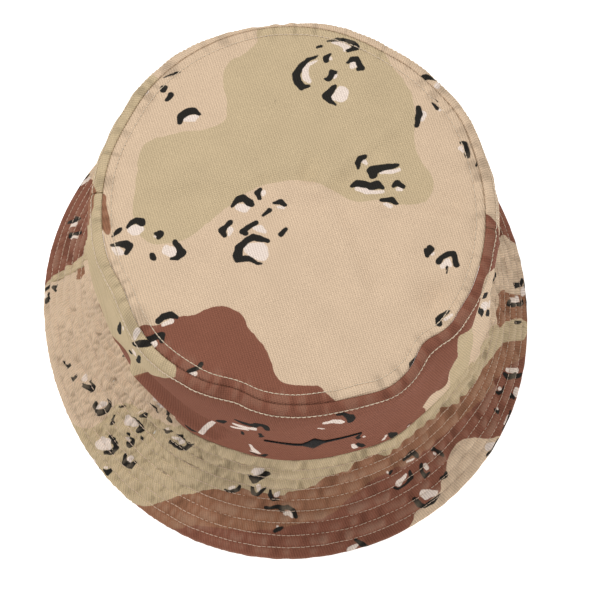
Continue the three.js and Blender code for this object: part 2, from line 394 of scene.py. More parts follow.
def top_skin(theta, share):
    """The top panel's outer face: waves and creases, and gathers and a ridge at its seam."""
    base = crown_top(theta, share)
    x, y = base[..., 0], base[..., 1] - TOP["y"]
    lift = 0.5 * noise(x / 24 + 40, y / 24 + 40, 41) + 0.2 * noise(x / 11 + 60, y / 11 + 60, 42)
    for x0, y0, x1, y1, half_width, height in TOP_CREASES:
        lift = lift + CREASE_STRENGTH * height * fold(x, y, x0, y0, x1, y1, half_width)
    from_seam = (1 - share) * (TOP["a"] + TOP["b"]) / 2
    lift = lift * np.clip(from_seam / 12, 0, 1)
    gathers = round_noise(theta, from_seam / 5, 150, 43) * bump(from_seam, 2.2, 1.6)
    gathers = gathers + 0.6 * round_noise(theta, from_seam / 12, 90, 44) * bump(from_seam, 8, 5)
    out = base.copy()
    out[..., 2] += lift + 0.5 * gathers + seam_ridge(from_seam, UPPER_STITCH_INSET)
    return out


# ---------------------------------------------------------------- the print

# Blotches are outlines through a few points. Black marks and pale pebbles are brush strokes: a few
# (u, v, radius) points each. On the top panel u and v are millimetres from its middle. On the side
# they are degrees from the front and millimetres up from the brim seam, and on the brim degrees and
# millimetres out from the crown seam. The back panels carry on past the right seam to 264 degrees.

TOP_BLOTCHES = {
    "khaki": [
        [(-12, 91), (-14, 83), (-20, 77), (-27, 72.5), (-30, 63), (-28.3, 51), (-29.5, 43),
         (-37, 38.8), (-50, 37.5), (-63, 34), (-67.5, 28), (-69.5, 14), (-71, 2), (-69, -10),
         (-62, -16), (-52, -15.5), (-44, -12), (-34, -3.5), (-22, 6), (-9, 11.5), (4, 12.3),
         (15, 8.5), (27, 1.5), (37, 1.8), (47, -0.5), (58, 2), (62, 12), (57, 21.5), (54.5, 32),
         (56, 46), (54, 57), (49, 66), (45, 74), (38, 92), (10, 102)],
    ],
    "mid": [[(-88, 10), (-82.8, 9), (-82.6, 4), (-81, -2), (-81, -9.5), (-83.5, -9), (-88, 0)]],
    "dark": [
        [(-69.5, -54.5), (-61.5, -53), (-52.5, -50), (-45, -49.3), (-39, -47), (-33, -46),
         (-27.5, -48), (-24, -51), (-22, -56), (-18, -61), (-14.5, -66), (-12, -72),
         (-10, -78.5), (-6, -81.5), (-1, -82.5), (7, -83), (10.3, -86), (13, -94), (-30, -100),
         (-72, -74)],
    ],
}
TOP_BLACK = [
    [(-56.5, 66.2, 0.3), (-53, 67.3, 0.6), (-48.8, 68.8, 0.5)],
    [(-56.2, 60.7, 1.9), (-56.4, 60, 1.7)],
    [(-53.4, 56.8, 1.4), (-55.3, 54.2, 0.9)],
    [(-64.5, 62.6, 0.6), (-63, 63.2, 0.7)],
    [(-68.8, 54.2, 1.4), (-69.5, 53.2, 1.1)],
    [(-72.6, 47.8, 0.8), (-73.4, 45, 0.4)],
    [(-49.5, 42.5, 1.3), (-49, 45.5, 1.9), (-46.5, 47.8, 1.9), (-43, 48, 1.8), (-40.5, 46.3, 0.9)],
    [(-27, 1, 0.8), (-24.8, 3.6, 1.6), (-22, 4.3, 1.8), (-19.5, 2, 1.9), (-18.6, 1, 1.3)],
    [(-14.3, 8.3, 0.9), (-15.8, 6.5, 1.5), (-15.3, 4.3, 1.1)],
    [(-9, 1.8, 0.7), (-6, 2.3, 1.3), (-4.3, 0.8, 1.1)],
    [(-11, -1.8, 1.1), (-14, -4.3, 0.6)],
    [(18, 82.6, 0.5), (22, 83.6, 0.9), (27, 83.2, 1.0), (29.7, 81.5, 1.4), (31, 79, 1.5),
     (27, 77.5, 1.0)],
    [(12.8, 79.2, 0.7), (14.8, 80, 0.8)],
    [(13.3, 75.2, 0.6), (9, 73.3, 1.1), (5, 69, 1.5), (3.2, 65.5, 1.9), (3.6, 61.5, 2.0),
     (5.3, 59, 1.8), (8.6, 59.5, 0.8)],
    [(19, 75.5, 0.6), (17, 74, 1.3), (17, 72, 1.1)],
    [(20.6, 66, 1.0), (19, 66.4, 1.1), (18.7, 64.5, 1.2), (17.5, 62.6, 1.3), (16, 62.5, 0.8)],
    [(20.3, 59.3, 0.8), (18.2, 56.5, 1.8), (16.3, 53.8, 2.2), (18.3, 51, 1.3), (20.3, 49.6, 0.6)],
    [(26.3, 71, 0.7), (28.5, 73, 1.3), (31, 73.6, 1.2), (32, 70.5, 1.5), (33, 68.5, 1.5),
     (31, 67.7, 0.9)],
    [(57.8, 48.2, 1.1), (57.8, 45, 1.5), (56.5, 41.5, 1.4), (55.8, 38.6, 1.1)],
    [(63.6, 50.8, 0.5), (65.7, 47.8, 1.1)],
    [(63, 54, 0.3), (66.5, 51.2, 0.3)],
    [(75.3, 31, 0.8), (77.3, 30.4, 1.1), (78, 27, 1.2), (78, 24, 1.2)],
    [(82, 21.8, 0.3), (81.6, 19.5, 0.6)],
    [(32.3, 23.8, 0.9), (29.7, 22.3, 1.4), (28.6, 20, 1.4), (28.8, 18, 0.7)],
    [(47, 18.8, 0.8), (43.5, 18.4, 1.3), (39.5, 18, 1.8), (35, 16.5, 2.4), (35.5, 14.2, 1.9)],
    [(25.8, 9.8, 1.0), (28.5, 11.3, 1.7), (32, 10, 1.7), (34, 9, 1.7), (37.5, 10, 1.7),
     (39.3, 8.5, 1.0)],
    [(44.3, 9.2, 0.9), (46, 10.7, 1.4), (48.5, 8.8, 1.1)],
    [(38.3, 1.9, 1.0), (40.5, 2, 1.4), (43.2, 2.3, 1.7), (44.8, 0.3, 1.0)],
    [(-73.3, -7.8, 0.7), (-71.7, -5.3, 1.4), (-69.5, -4.3, 1.4), (-67, -5.3, 1.9)],
    [(-79.8, -10.8, 0.6), (-77.8, -9, 1.2), (-76.7, -8.3, 1.1)],
    [(-80.3, -15.3, 0.8), (-77, -15, 1.3), (-73.8, -15.5, 2.2), (-72, -16, 1.4), (-74.3, -19.5, 1.0)],
    [(-61.3, -10.8, 0.7), (-59, -11.3, 1.9), (-59.8, -13, 1.0)],
    [(-62.6, -20.8, 1.0), (-62.4, -22.6, 1.4)],
    [(-52.3, -15.6, 1.5), (-50.8, -18.3, 1.5), (-49.5, -20.8, 1.9), (-52, -23.3, 1.1),
     (-54.7, -23.4, 0.7)],
    [(-28, -7.2, 1.2), (-30.2, -9.3, 1.2), (-32, -10.8, 1.7), (-31, -13.2, 1.1)],
    [(-17.3, -7.5, 1.2), (-20, -9.3, 1.4), (-23, -12, 1.5), (-21.5, -13, 1.1)],
    [(-4, -11.2, 0.9), (-6.3, -13.5, 1.4)],
    [(-12.5, -16.3, 1.2), (-15.5, -15.3, 1.4), (-18.3, -14.8, 1.6), (-22, -16.8, 1.6),
     (-25, -19.5, 1.9), (-25.3, -23, 2.0), (-25.6, -24.8, 1.4), (-22, -24.5, 1.4),
     (-19.3, -25.3, 1.2), (-17, -27, 0.8), (-15, -27.2, 0.5)],
    [(-60.5, -51.3, 1.2), (-58.3, -49.4, 1.4), (-54.8, -48.6, 1.5), (-52.5, -50, 1.0)],
    [(-59, -60.5, 1.0), (-58.8, -57.3, 1.2), (-61, -58, 1.6), (-63.5, -59.5, 1.5), (-67, -60.3, 1.5)],
    [(-42.5, -71.8, 1.2), (-44.5, -73.5, 1.0), (-48, -74.6, 0.8)],
    [(58.8, -20.5, 1.4), (60, -21, 0.9), (57.5, -22.5, 1.7), (57.2, -24.5, 0.9)],
    [(62.3, -27, 1.6), (63.5, -25.3, 1.3), (66.5, -23.8, 1.4), (69.3, -23.3, 1.1),
     (69.8, -26, 1.2), (70.2, -28.8, 1.4)],
    [(66, -29.8, 0.8), (65.8, -32.5, 0.4)],
    [(61, -55.5, 1.5), (60.8, -53.3, 1.3), (63, -51, 1.1), (65.8, -49.3, 0.8)],
    [(48.5, -74, 1.4), (50.5, -71.5, 1.0), (52, -68.5, 0.9)],
    [(-7.3, 50, 0.1), (-6.9, 52.3, 0.25)],
]
TOP_PEBBLES = [
    [(-67.5, 58.2, 1.8), (-65.5, 60.3, 2.6), (-63, 62, 0.9)],
    [(-47, 44.2, 1.4), (-43.5, 44.3, 1.7), (-41.5, 45.2, 0.8)],
    [(-24.3, 0, 1.6), (-22, -0.6, 2.1), (-20.5, 0, 1.5)],
    [(-13, 6.7, 1.2), (-13.5, 5.5, 0.7)],
    [(-7, -0.2, 0.7), (-5, -0.5, 0.7)],
    [(20.5, 82, 0.8), (24, 81.3, 1.7), (27, 79.3, 1.6), (25.3, 77.5, 0.7)],
    [(12.5, 72.5, 0.6), (9, 70.5, 0.9), (7.2, 67.5, 1.4), (7.6, 63.5, 1.8), (9, 61.7, 1.0)],
    [(18.7, 73.5, 0.9), (19, 72.8, 0.6)],
    [(20.7, 64.5, 1.0), (20, 63.5, 0.7)],
    [(23.3, 56, 3.0), (22.5, 54, 3.2), (20, 53, 1.6)],
    [(29, 70, 2.0), (28.3, 68.9, 1.2)],
    [(59.3, 45, 1.8), (58.5, 41.8, 1.2)],
    [(75.3, 28, 1.4), (76.5, 26.2, 0.8)],
    [(66.8, 47.2, 0.9), (68, 47.3, 0.5)],
    [(31.5, 21, 1.3), (32.3, 20.2, 0.8)],
    [(47, 16.6, 0.8), (42, 15.8, 1.0), (38.5, 15.3, 0.6)],
    [(28.5, 8.6, 1.4), (31.5, 6.8, 1.5), (36, 6.3, 1.1), (39.5, 6.7, 0.7)],
    [(46.3, 7.8, 1.1), (47.5, 7.3, 0.8)],
    [(42, -1.1, 1.3), (39.8, -0.3, 0.7)],
    [(-71.5, -8.5, 2.0), (-69.8, -8.9, 2.7), (-68, -8.3, 1.9)],
    [(-79, -17, 1.5), (-77.5, -18.5, 1.8), (-76, -19.5, 1.0)],
    [(-61.3, -12.3, 0.7), (-60.8, -12.9, 0.4)],
    [(-56.5, -19, 2.0), (-54.5, -20, 2.6), (-52.8, -21, 1.3)],
    [(-28.2, -10.6, 1.4), (-29, -13, 0.7)],
    [(-18, -10.3, 1.0), (-15.5, -10.6, 2.0), (-13, -12.2, 0.9)],
    [(-20.5, -20.3, 2.4), (-16, -20.3, 3.4), (-15, -23.3, 2.7), (-19.5, -22, 1.8)],
    [(-58.3, -52.8, 0.9), (-54.8, -51.3, 1.1)],
    [(-62.5, -61.5, 1.6), (-63.5, -62.5, 1.3)],
    [(-47, -75.8, 1.0), (-45, -75.6, 1.1)],
    [(-71, -54.5, 1.4), (-70.5, -57, 1.2)],
    [(59.3, -23.6, 0.6), (60.5, -22.8, 0.5)],
    [(64, -29.3, 1.2), (66.5, -27, 1.4), (67.5, -28.8, 1.0)],
    [(64, -53.3, 0.9), (67, -51.3, 0.7)],
    [(53, -71, 0.5), (54.5, -68, 0.4)],
]

SIDE_BLOTCHES = {
    "khaki": [
        [(-100, -30), (-84, -30), (-80, 20), (-77, 33), (-72, 39), (-66, 46.5), (-61, 51.5),
         (-55, 54), (-52, 49), (-50, 43), (-47, 52), (-44, 62), (-41, 70), (-37, 79), (-36, 92),
         (-100, 92)],
        [(50, -20), (50, 45), (49.5, 66), (51.5, 76), (56, 68), (60, 52), (60, 20), (56, -20)],
        [(130, -8), (134, 30), (142, 50), (158, 44), (170, 56), (190, 40), (186, 14), (160, -8)],
        [(226, 90), (230, 62), (242, 56), (252, 66), (266, 60), (266, 90)],
    ],
    "dark": [
        [(-78, 18), (-73, 35), (-68, 43.5), (-61, 51.5), (-55, 54), (-52, 49), (-50, 43),
         (-47, 52), (-44, 62), (-41, 70), (-37, 79), (-36, 95), (40, 99), (88, 99), (84, 70),
         (86, 44), (84, 26), (82, 36), (79, 48), (76, 62), (73, 74), (69, 79), (65, 77.5), (60, 71),
         (58, 62), (56, 68), (51.5, 75.5), (49.5, 68), (49.8, 50), (49.8, 30), (48.5, 17),
         (46, 17), (41, 29), (39, 31), (38, 20), (37, -10), (0, -20), (-36, -20), (-37, 12),
         (-40, 24), (-43, 29), (-47, 31), (-50, 21), (-56, 27), (-62, 35), (-68, 28), (-74, 17)],
        [(96, -8), (100, 18), (110, 28), (118, 46), (130, 52), (142, 40), (146, 10), (138, -8)],
        [(188, -8), (194, 22), (206, 30), (212, 56), (226, 66), (238, 48), (234, 20), (222, -8)],
    ],
    "mid": [
        [(-50, 43), (-47, 52), (-44, 62), (-41, 70), (-37, 79), (-36, 95), (-20, 95), (-20, 74),
         (-23, 60), (-25, 45), (-29, 30), (-36, 24), (-40, 32), (-46, 36)],
        [(16, 66), (26, 56), (36, 40), (37, 14), (30, 10), (22, 30), (14, 44)],
        [(-99, 44), (-101, 60), (-99, 78), (-90, 77), (-91, 62), (-94, 48)],
        [(261, 44), (259, 60), (261, 78), (270, 77), (270, 44)],
        [(152, 58), (158, 50), (176, 56), (188, 46), (198, 56), (190, 68), (168, 70)],
    ],
}
SIDE_BLACK = [
    [(-58.8, 73.5, 1.2), (-58.3, 69, 2.0), (-58.7, 63.5, 1.2)],
    [(-48.6, 82.5, 1.7), (-50.3, 79, 1.7), (-51.8, 75.8, 0.9)],
    [(-48.6, 73, 0.9), (-48.8, 66, 1.3), (-49.5, 60, 1.4), (-50, 57.5, 0.8)],
    [(-52.3, 63.5, 1.0), (-53, 59.5, 1.1)],
    [(-23, 47, 0.9), (-22.2, 49, 1.9), (-21, 52.5, 1.1)],
    [(-30.2, 22, 1.2), (-32, 17, 1.9), (-32.3, 12, 1.8), (-31.3, 9, 1.3), (-29.5, 12.5, 1.4),
     (-28, 17, 1.6), (-26, 22, 1.7), (-24.5, 25, 1.1)],
    [(-17.8, 60.5, 0.9), (-15.5, 60, 2.0), (-13, 61, 2.0), (-12, 65, 1.5), (-9.8, 66, 1.9), (-9, 61, 1.4)],
    [(-16, 44.5, 0.8), (-15.7, 39.5, 0.7)],
    [(-10.8, 50, 0.8), (-10.4, 45, 1.2), (-10.8, 42, 0.7)],
    [(-13, 10, 0.7), (-11, 7.5, 1.0), (-9.5, 7, 1.3), (-8.7, 12, 1.2)],
    [(10, 76.3, 0.8), (11.8, 75.5, 1.0), (13.2, 72, 1.9), (14, 68, 2.0), (13.7, 63, 1.2)],
    [(17.2, 33.5, 0.8), (16.5, 30, 1.2), (17.2, 26, 1.1)],
    [(17, 17, 0.9), (18, 11, 1.5), (19, 6.5, 1.2)],
    [(26.3, 18, 0.9), (27, 13, 1.6), (27.8, 6, 2.1), (28.5, 0, 2.1), (29, -6, 1.3)],
    [(32.8, 5.5, 0.9), (34, 4.5, 0.8)],
    [(-72.8, 42, 0.9), (-74, 38, 1.3), (-75.5, 33, 1.1)],
    [(63.8, 60, 1.0), (64.8, 52, 1.5), (66, 44, 1.4)],
    [(65, 71, 1.4), (66.8, 65, 1.9), (69, 56, 1.5)],
    [(69.5, 28, 1.2), (71, 19, 1.7), (73, 8, 1.8), (74, 1, 1.2)],
    [(74.5, 36, 1.2), (76.5, 26, 1.9), (79, 14, 1.8), (81, 4, 1.2)],
    [(100, 52, 1.2), (102, 58, 2.0), (105, 60, 1.2)],
    [(104, 44, 1.0), (107, 42, 1.8), (108, 37, 1.0)],
]
SIDE_PEBBLES = [
    [(-57.3, 74.5, 0.8), (-57, 73, 0.5)],
    [(-53.3, 81.5, 1.4), (-52.5, 78.5, 1.0)],
    [(-51, 71, 1.3), (-50.8, 66.5, 1.5)],
    [(-23.3, 42, 0.9), (-25.5, 34, 1.3), (-27.5, 26, 1.2), (-30, 18, 0.8)],
    [(-18, 53, 1.5), (-16, 53.5, 2.2), (-13, 55, 1.8), (-12.3, 58.5, 1.0)],
    [(-18.5, 47, 1.2), (-14.5, 50.5, 1.3)],
    [(-13.5, 24, 0.7), (-12.8, 20, 0.9), (-12, 15, 1.6), (-11, 12, 1.5), (-13, 12.5, 0.8)],
    [(6.8, 70, 1.9), (8.5, 71, 2.2), (10, 69.5, 2.1), (11.3, 65.8, 1.7)],
    [(5, 63, 0.8), (6.3, 60, 0.7)],
    [(18.6, 27, 0.7), (18.8, 25, 0.5)],
    [(15.5, 18, 0.9), (16.2, 12, 1.4), (16.7, 8.5, 1.1)],
    [(25.3, 15, 0.7), (25.3, 9, 0.7), (24.8, 5, 0.8)],
    [(33.3, 2.3, 0.9), (33.2, 1, 0.6)],
    [(66, 57, 1.0), (67.5, 48, 2.0), (69.5, 38, 2.0), (70.6, 31, 1.1)],
    [(72.5, 26, 1.2), (74, 18, 2.2), (76.3, 7, 2.2), (77.5, 1, 1.2)],
    [(103, 54, 1.4), (106, 54, 1.2)],
]

BRIM_BLOTCHES = {
    "khaki": [
        [(-61, 68), (-58.5, 50), (-57, 38), (-56.5, 26), (-53, 15), (-47, 8), (-38, 2), (-30, -8),
         (0, -8), (45, -8), (56, 2), (62, 10), (72, 15), (77, 22), (80, 31), (82.5, 40),
         (84.5, 50), (86.5, 68), (40, 76), (0, 76)],
        [(258, 68), (258, 44), (257, 30), (254, 14), (270, -10), (270, 68)],
        [(118, -8), (122, 20), (130, 42), (146, 50), (160, 36), (176, 44), (184, 20), (178, -8)],
        [(196, 70), (194, 46), (208, 34), (222, 40), (228, 54), (224, 70)],
    ],
    "mid": [
        [(-38.5, 66), (-35.5, 54), (-33, 48), (-29.5, 40), (-26, 35), (-23.5, 31.5), (-21, 28.2),
         (-17, 27.5), (-14, 23.8), (-9, 24.5), (-4, 25.3), (-2, 23.5), (2, 22), (4.5, 19.3),
         (7, 16.3), (11, 14.8), (14, 12.6), (18, 10.4), (22.5, 9.8), (24.5, 13), (26, 15),
         (28.5, 12.7), (32, 11), (38, 10), (43, 10.5), (47, 13), (50, 16.5), (54, 19), (58, 21.7),
         (66, 24), (70, 28.3), (74, 33), (76.5, 38.5), (78.5, 46), (79.6, 53), (82, 68), (40, 76),
         (0, 76)],
        [(76.5, 20), (77.8, 25.5), (81, 25), (84.5, 23.8), (87, 26), (89, 31), (90, 42),
         (91.3, 54), (92.5, 68), (86.5, 68), (85, 52), (83, 42), (80.5, 33), (78, 28)],
        [(-97, 17), (-94, 17), (-93.3, 20), (-93.8, 25), (-97, 25)],
    ],
    "dark": [
        [(-30, 68), (-26, 54), (-20, 49), (-12, 46.5), (-4, 43.5), (2, 40.5), (8, 37.8),
         (11.3, 35.5), (13, 31.5), (18, 28), (22, 25.3), (28, 25), (33, 26), (38, 26), (43, 27),
         (48, 28), (53, 30), (58, 33), (63, 36), (68, 40), (72, 46), (75, 54), (77, 68),
         (40, 76), (0, 76)],
        [(262.5, 68), (261.5, 48), (261, 36), (259.7, 27), (257, 21), (250, 24), (240, 34),
         (236, 50), (238, 68)],
        [(104, 70), (106, 46), (100, 30), (106, 14), (114, 8), (120, 26), (118, 48), (124, 70)],
        [(150, 70), (154, 52), (168, 54), (182, 48), (190, 56), (190, 70)],
        [(190, -8), (196, 10), (212, 18), (224, 8), (228, -8)],
    ],
    "tan": [
        [(26, 68), (28.3, 57), (30, 53.5), (36.5, 52), (38, 48), (40.2, 46), (41, 42.5),
         (43, 39.8), (46, 38.3), (48.7, 39.6), (51, 43.5), (53, 49), (55, 54.5), (57, 59),
         (58, 68)],
    ],
}
BRIM_BLACK = [
    [(-95, 47, 0.9), (-94.3, 47.5, 1.3), (-95, 49.8, 0.7)],
    [(-95.6, 54.5, 1.0), (-95.5, 57.5, 1.0)],
    [(-93.8, 54, 1.1), (-92.7, 53.5, 1.3), (-92.3, 56.5, 1.4)],
    [(-73.9, 42.5, 0.7), (-74, 45.3, 1.0), (-75.8, 48, 0.8)],
    [(-70.6, 40.3, 0.6), (-70.4, 43, 1.1), (-71, 45.3, 0.8)],
    [(-66.3, 31, 0.9), (-64.6, 32, 1.2), (-65, 35, 1.9), (-67.5, 38.5, 0.8)],
    [(-59, 27, 0.7), (-57.6, 27.7, 1.0), (-57.6, 31.5, 1.2), (-58.3, 35.5, 1.5), (-59.5, 39.3, 1.6),
     (-61.3, 38, 1.0), (-61.5, 35.3, 0.8)],
    [(-53.7, 19.3, 0.6), (-54.8, 22, 0.8)],
    [(-54.9, 30.6, 0.8), (-54.4, 33, 1.2), (-54.3, 35.3, 0.7)],
    [(-47.1, 8, 0.8), (-47, 11.5, 1.5), (-47.9, 14, 0.9)],
    [(-49.7, 17.8, 1.0), (-47.8, 19, 1.3), (-46.2, 20.5, 1.5), (-46.7, 23.5, 1.5), (-46.8, 25, 0.9)],
    [(-45.2, 25.3, 0.7), (-44.9, 27.3, 0.9)],
    [(-49, 30.7, 0.8), (-47.3, 31, 1.0), (-46.5, 32, 1.2), (-47, 34.7, 1.2), (-48, 35.3, 0.7)],
    [(-43.7, 40.5, 0.8), (-44.3, 43.5, 1.6), (-46, 45, 1.8), (-47, 41.5, 0.8)],
    [(-53, 41.5, 0.9), (-51, 40.7, 1.6), (-49.9, 42, 1.5), (-50.3, 46, 1.3), (-51.7, 49.8, 0.8)],
    [(-48.2, 54.5, 0.7), (-48.6, 57.5, 1.3), (-49.5, 57.5, 0.8)],
    [(-51, 59.8, 0.9), (-51, 61, 0.9)],
    [(-37.2, 6, 0.7), (-38.5, 8.5, 1.0), (-39.8, 9, 0.7)],
    [(-35.3, 6.3, 1.1), (-33.8, 5.5, 1.2), (-32.3, 6.8, 1.1)],
    [(-29.6, 4, 0.7), (-30.7, 7, 1.4), (-31.5, 10.5, 1.1), (-32.5, 13.5, 1.4), (-34.3, 14.6, 1.5),
     (-36.7, 14.6, 1.0)],
    [(-18.7, 26.8, 1.0), (-17, 27, 1.3), (-15.5, 25, 1.2), (-15, 23, 0.7)],
    [(-13, 14, 0.9), (-12.3, 15.3, 1.2), (-10.8, 17, 1.7), (-9, 14.5, 1.2), (-7.6, 11.5, 1.2)],
    [(-11.7, 21.8, 0.8), (-11.2, 24.5, 1.3), (-10.3, 26, 1.2), (-9.2, 23.8, 1.1), (-8.2, 22, 0.7)],
    [(-6.7, 23.2, 0.9), (-6.7, 25.3, 1.2), (-6, 27.8, 1.0), (-4.5, 28.3, 0.7)],
    [(-7.6, 33, 1.0), (-5, 32.5, 1.1), (-2, 31.3, 1.3), (-0.8, 33, 1.1), (-0.2, 37, 1.2)],
    [(-4, 34, 1.0), (-3, 34, 0.8)],
    [(-5.3, 45.3, 0.8), (-4, 44, 1.2), (-3.3, 43.3, 0.7)],
    [(14.2, 54.3, 0.9), (15.3, 57, 1.3), (16.5, 60.5, 1.0)],
    [(26.3, 25.8, 1.1), (26.1, 26.8, 0.7)],
    [(30.3, 22.7, 0.6), (32, 22.4, 1.0), (33.8, 22, 1.1), (34.3, 25, 1.4), (34.6, 27, 0.7)],
    [(31.4, 31.8, 0.9), (31.3, 35.5, 1.4), (29.5, 36.8, 0.7), (27, 36.8, 0.7), (26.3, 35.5, 0.7)],
    [(35, 32.8, 1.1), (34.3, 36, 1.1), (34.7, 39.3, 1.2), (36.3, 39.3, 0.8)],
    [(39.5, 29, 1.0), (40.3, 31.5, 0.7), (41, 34, 1.4), (41.5, 35.8, 0.9)],
    [(38.5, 46.3, 0.9), (39.8, 46.8, 1.3), (40.3, 44.8, 0.6)],
    [(30.3, 47, 1.1), (30.9, 50.5, 1.3), (32, 53.5, 1.1), (34.5, 54.2, 1.2), (36.5, 53.5, 0.8)],
    [(51.7, 58, 0.9), (53.3, 59.7, 1.0), (55.8, 59.3, 1.3)],
    [(58.8, 58.5, 0.9), (61, 59, 0.9), (63.5, 58.3, 0.7)],
    [(60.4, 46.5, 0.7), (60.4, 49.5, 0.9), (61.3, 50.5, 0.5)],
    [(63.8, 42.5, 0.7), (64.2, 45, 1.0), (65.3, 46.5, 0.8), (66.5, 46, 0.6)],
    [(69, 43, 0.8), (69.3, 47, 1.2), (70.5, 50.8, 1.3), (71, 53.5, 1.3), (72, 57, 1.0), (72.6, 58.3, 0.5)],
    [(66.3, 54.5, 1.3), (66.6, 57.5, 0.8)],
    [(82.8, 45, 0.7), (83.3, 48, 0.9), (84.2, 51.8, 0.5)],
    [(86.7, 37.5, 1.5), (86.9, 41.5, 1.1), (87.7, 46, 0.9), (88.3, 50.5, 1.0), (89.8, 55.3, 1.4)],
    [(92.8, 47.5, 1.4), (93.2, 51, 1.2), (94, 55, 1.3), (95.2, 58, 1.1)],
    [(88.5, 17.5, 0.5), (91, 21.5, 0.9), (93, 24.5, 0.6)],
    [(104, 34, 1.0), (107, 38, 2.0), (111, 37, 1.1)],
    [(112, 30, 1.3), (115, 27, 1.5)],
    [(-62.3, -15, 0.8), (-62.9, -12.5, 1.1), (-63.4, -10, 0.8)],
    [(-58.3, -14, 0.9), (-58.2, -11.5, 1.0)],
    [(-41.7, -15, 0.9), (-40.5, -9, 1.5), (-39.2, -5, 1.3), (-38.3, -1, 0.8)],
    [(-47.3, -4, 0.7), (-45.5, -1, 1.0), (-44, 0, 0.9)],
    [(252, 32, 1.0), (252, 38, 1.3), (252.2, 44.5, 1.2)],
    [(248, 38, 1.0), (247.6, 44, 1.4), (248.5, 50, 0.9)],
]
BRIM_PEBBLES = [
    [(-93.9, 57, 1.3), (-93.7, 58.5, 1.0)],
    [(-68.7, 34.5, 1.3), (-68.3, 36, 1.2)],
    [(-59, 30, 1.2), (-60, 34, 1.4), (-60.3, 37, 0.9)],
    [(-48.3, 10, 0.6), (-49, 13, 0.5)],
    [(-48.5, 21.5, 1.8), (-50.8, 24.5, 2.9), (-51, 26.5, 1.8)],
    [(-48.2, 33.3, 1.2), (-48.8, 33.8, 0.8)],
    [(-45, 39, 0.9), (-45.5, 41.5, 1.4)],
    [(-52.3, 45, 2.6), (-53.3, 47, 3.0), (-54, 50, 1.8)],
    [(-49.3, 55, 0.8), (-49.7, 56, 0.5)],
    [(-53, 59, 1.2), (-53, 61, 1.2)],
    [(-38.8, 6.5, 0.9), (-39.2, 7.5, 0.6)],
    [(-34, 10, 1.9), (-36, 9.5, 1.0), (-33, 8.7, 1.2)],
    [(-17.3, 24.7, 1.2), (-16.5, 23.5, 0.8)],
    [(-11.6, 10.5, 1.6), (-10, 11.5, 2.2), (-11, 13.8, 1.4)],
    [(-10.2, 20.8, 1.2), (-9.8, 23, 0.9)],
    [(-5, 25.5, 1.4), (-4.3, 23.5, 0.6)],
    [(-2.8, 35.2, 0.8), (-1.8, 34.5, 1.0), (-0.9, 37.5, 0.6)],
    [(-4.4, 42.7, 0.7), (-4.5, 43.3, 0.5)],
    [(12.8, 58.8, 1.9), (14, 57.2, 1.0)],
    [(25.3, 24.3, 0.5), (25.6, 25.3, 0.5)],
    [(30.9, 24.3, 0.5), (33, 25.4, 0.7)],
    [(27.8, 34, 1.9), (29.3, 32.7, 1.5), (30.2, 31.7, 0.7)],
    [(36, 34, 1.1), (36.2, 36, 1.0)],
    [(39.2, 31, 0.5), (39.8, 33.5, 0.5)],
    [(32.7, 46.5, 1.8), (33.7, 49, 2.6), (35.5, 50.5, 1.8)],
    [(53, 55.5, 1.8), (54.3, 58, 1.5)],
    [(59.8, 57.2, 0.6), (62, 57.8, 0.7)],
    [(61.1, 47.6, 0.7), (61.2, 49, 0.7)],
    [(65.2, 43.5, 0.9), (65.4, 44.8, 0.7)],
    [(70.3, 44, 0.9), (71.3, 49, 1.1), (72.4, 53.5, 1.2)],
    [(68, 57.5, 2.0), (68.2, 60, 2.0)],
    [(88, 39, 0.8), (88.5, 44, 1.5), (89.8, 49.5, 1.6)],
    [(92, 55, 1.6), (93, 58.5, 1.5)],
    [(107, 33, 1.8), (110, 32, 1.0)],
    [(-46.5, -11, 1.7), (-44, -13, 2.0), (-43.3, -9, 1.9), (-45, -6, 1.1)],
    [(253.2, 34, 0.7), (253, 39, 1.2), (252.5, 43, 0.7)],
    [(249, 42, 1.4), (249.3, 46, 1.2)],
]


FAR = 9.0  # as far inside or outside an outline as a field tells


def smooth_outline(points, steps=6):
    """A closed curve through the points (Catmull-Rom)."""
    p = np.asarray(points, float)
    before, after, beyond = np.roll(p, 1, 0), np.roll(p, -1, 0), np.roll(p, -2, 0)
    t = np.linspace(0, 1, steps, endpoint=False)[None, :, None]
    a, b, c, d = before[:, None], p[:, None], after[:, None], beyond[:, None]
    curve = 0.5 * (
        2 * b + (c - a) * t + (2 * a - 5 * b + 4 * c - d) * t**2 + (3 * b - a - 3 * c + d) * t**3
    )
    return curve.reshape(-1, 2)


def inside_by(points, outline):
    """How far inside a closed outline each point is, negative outside."""
    a, b = outline, np.roll(outline, -1, 0)
    best = np.full(len(points), 1e9)
    crossings = np.zeros(len(points), bool)
    x, y = points[:, 0], points[:, 1]
    for (x0, y0), (x1, y1) in zip(a, b):
        dx, dy = x1 - x0, y1 - y0
        share = np.clip(((x - x0) * dx + (y - y0) * dy) / max(dx * dx + dy * dy, 1e-12), 0, 1)
        best = np.minimum(best, np.hypot(x - x0 - share * dx, y - y0 - share * dy))
        straddles = (y0 > y) != (y1 > y)
        if y0 != y1:
            crossings ^= straddles & (x < x0 + (y - y0) / (y1 - y0) * dx)
    return np.where(crossings, best, -best)


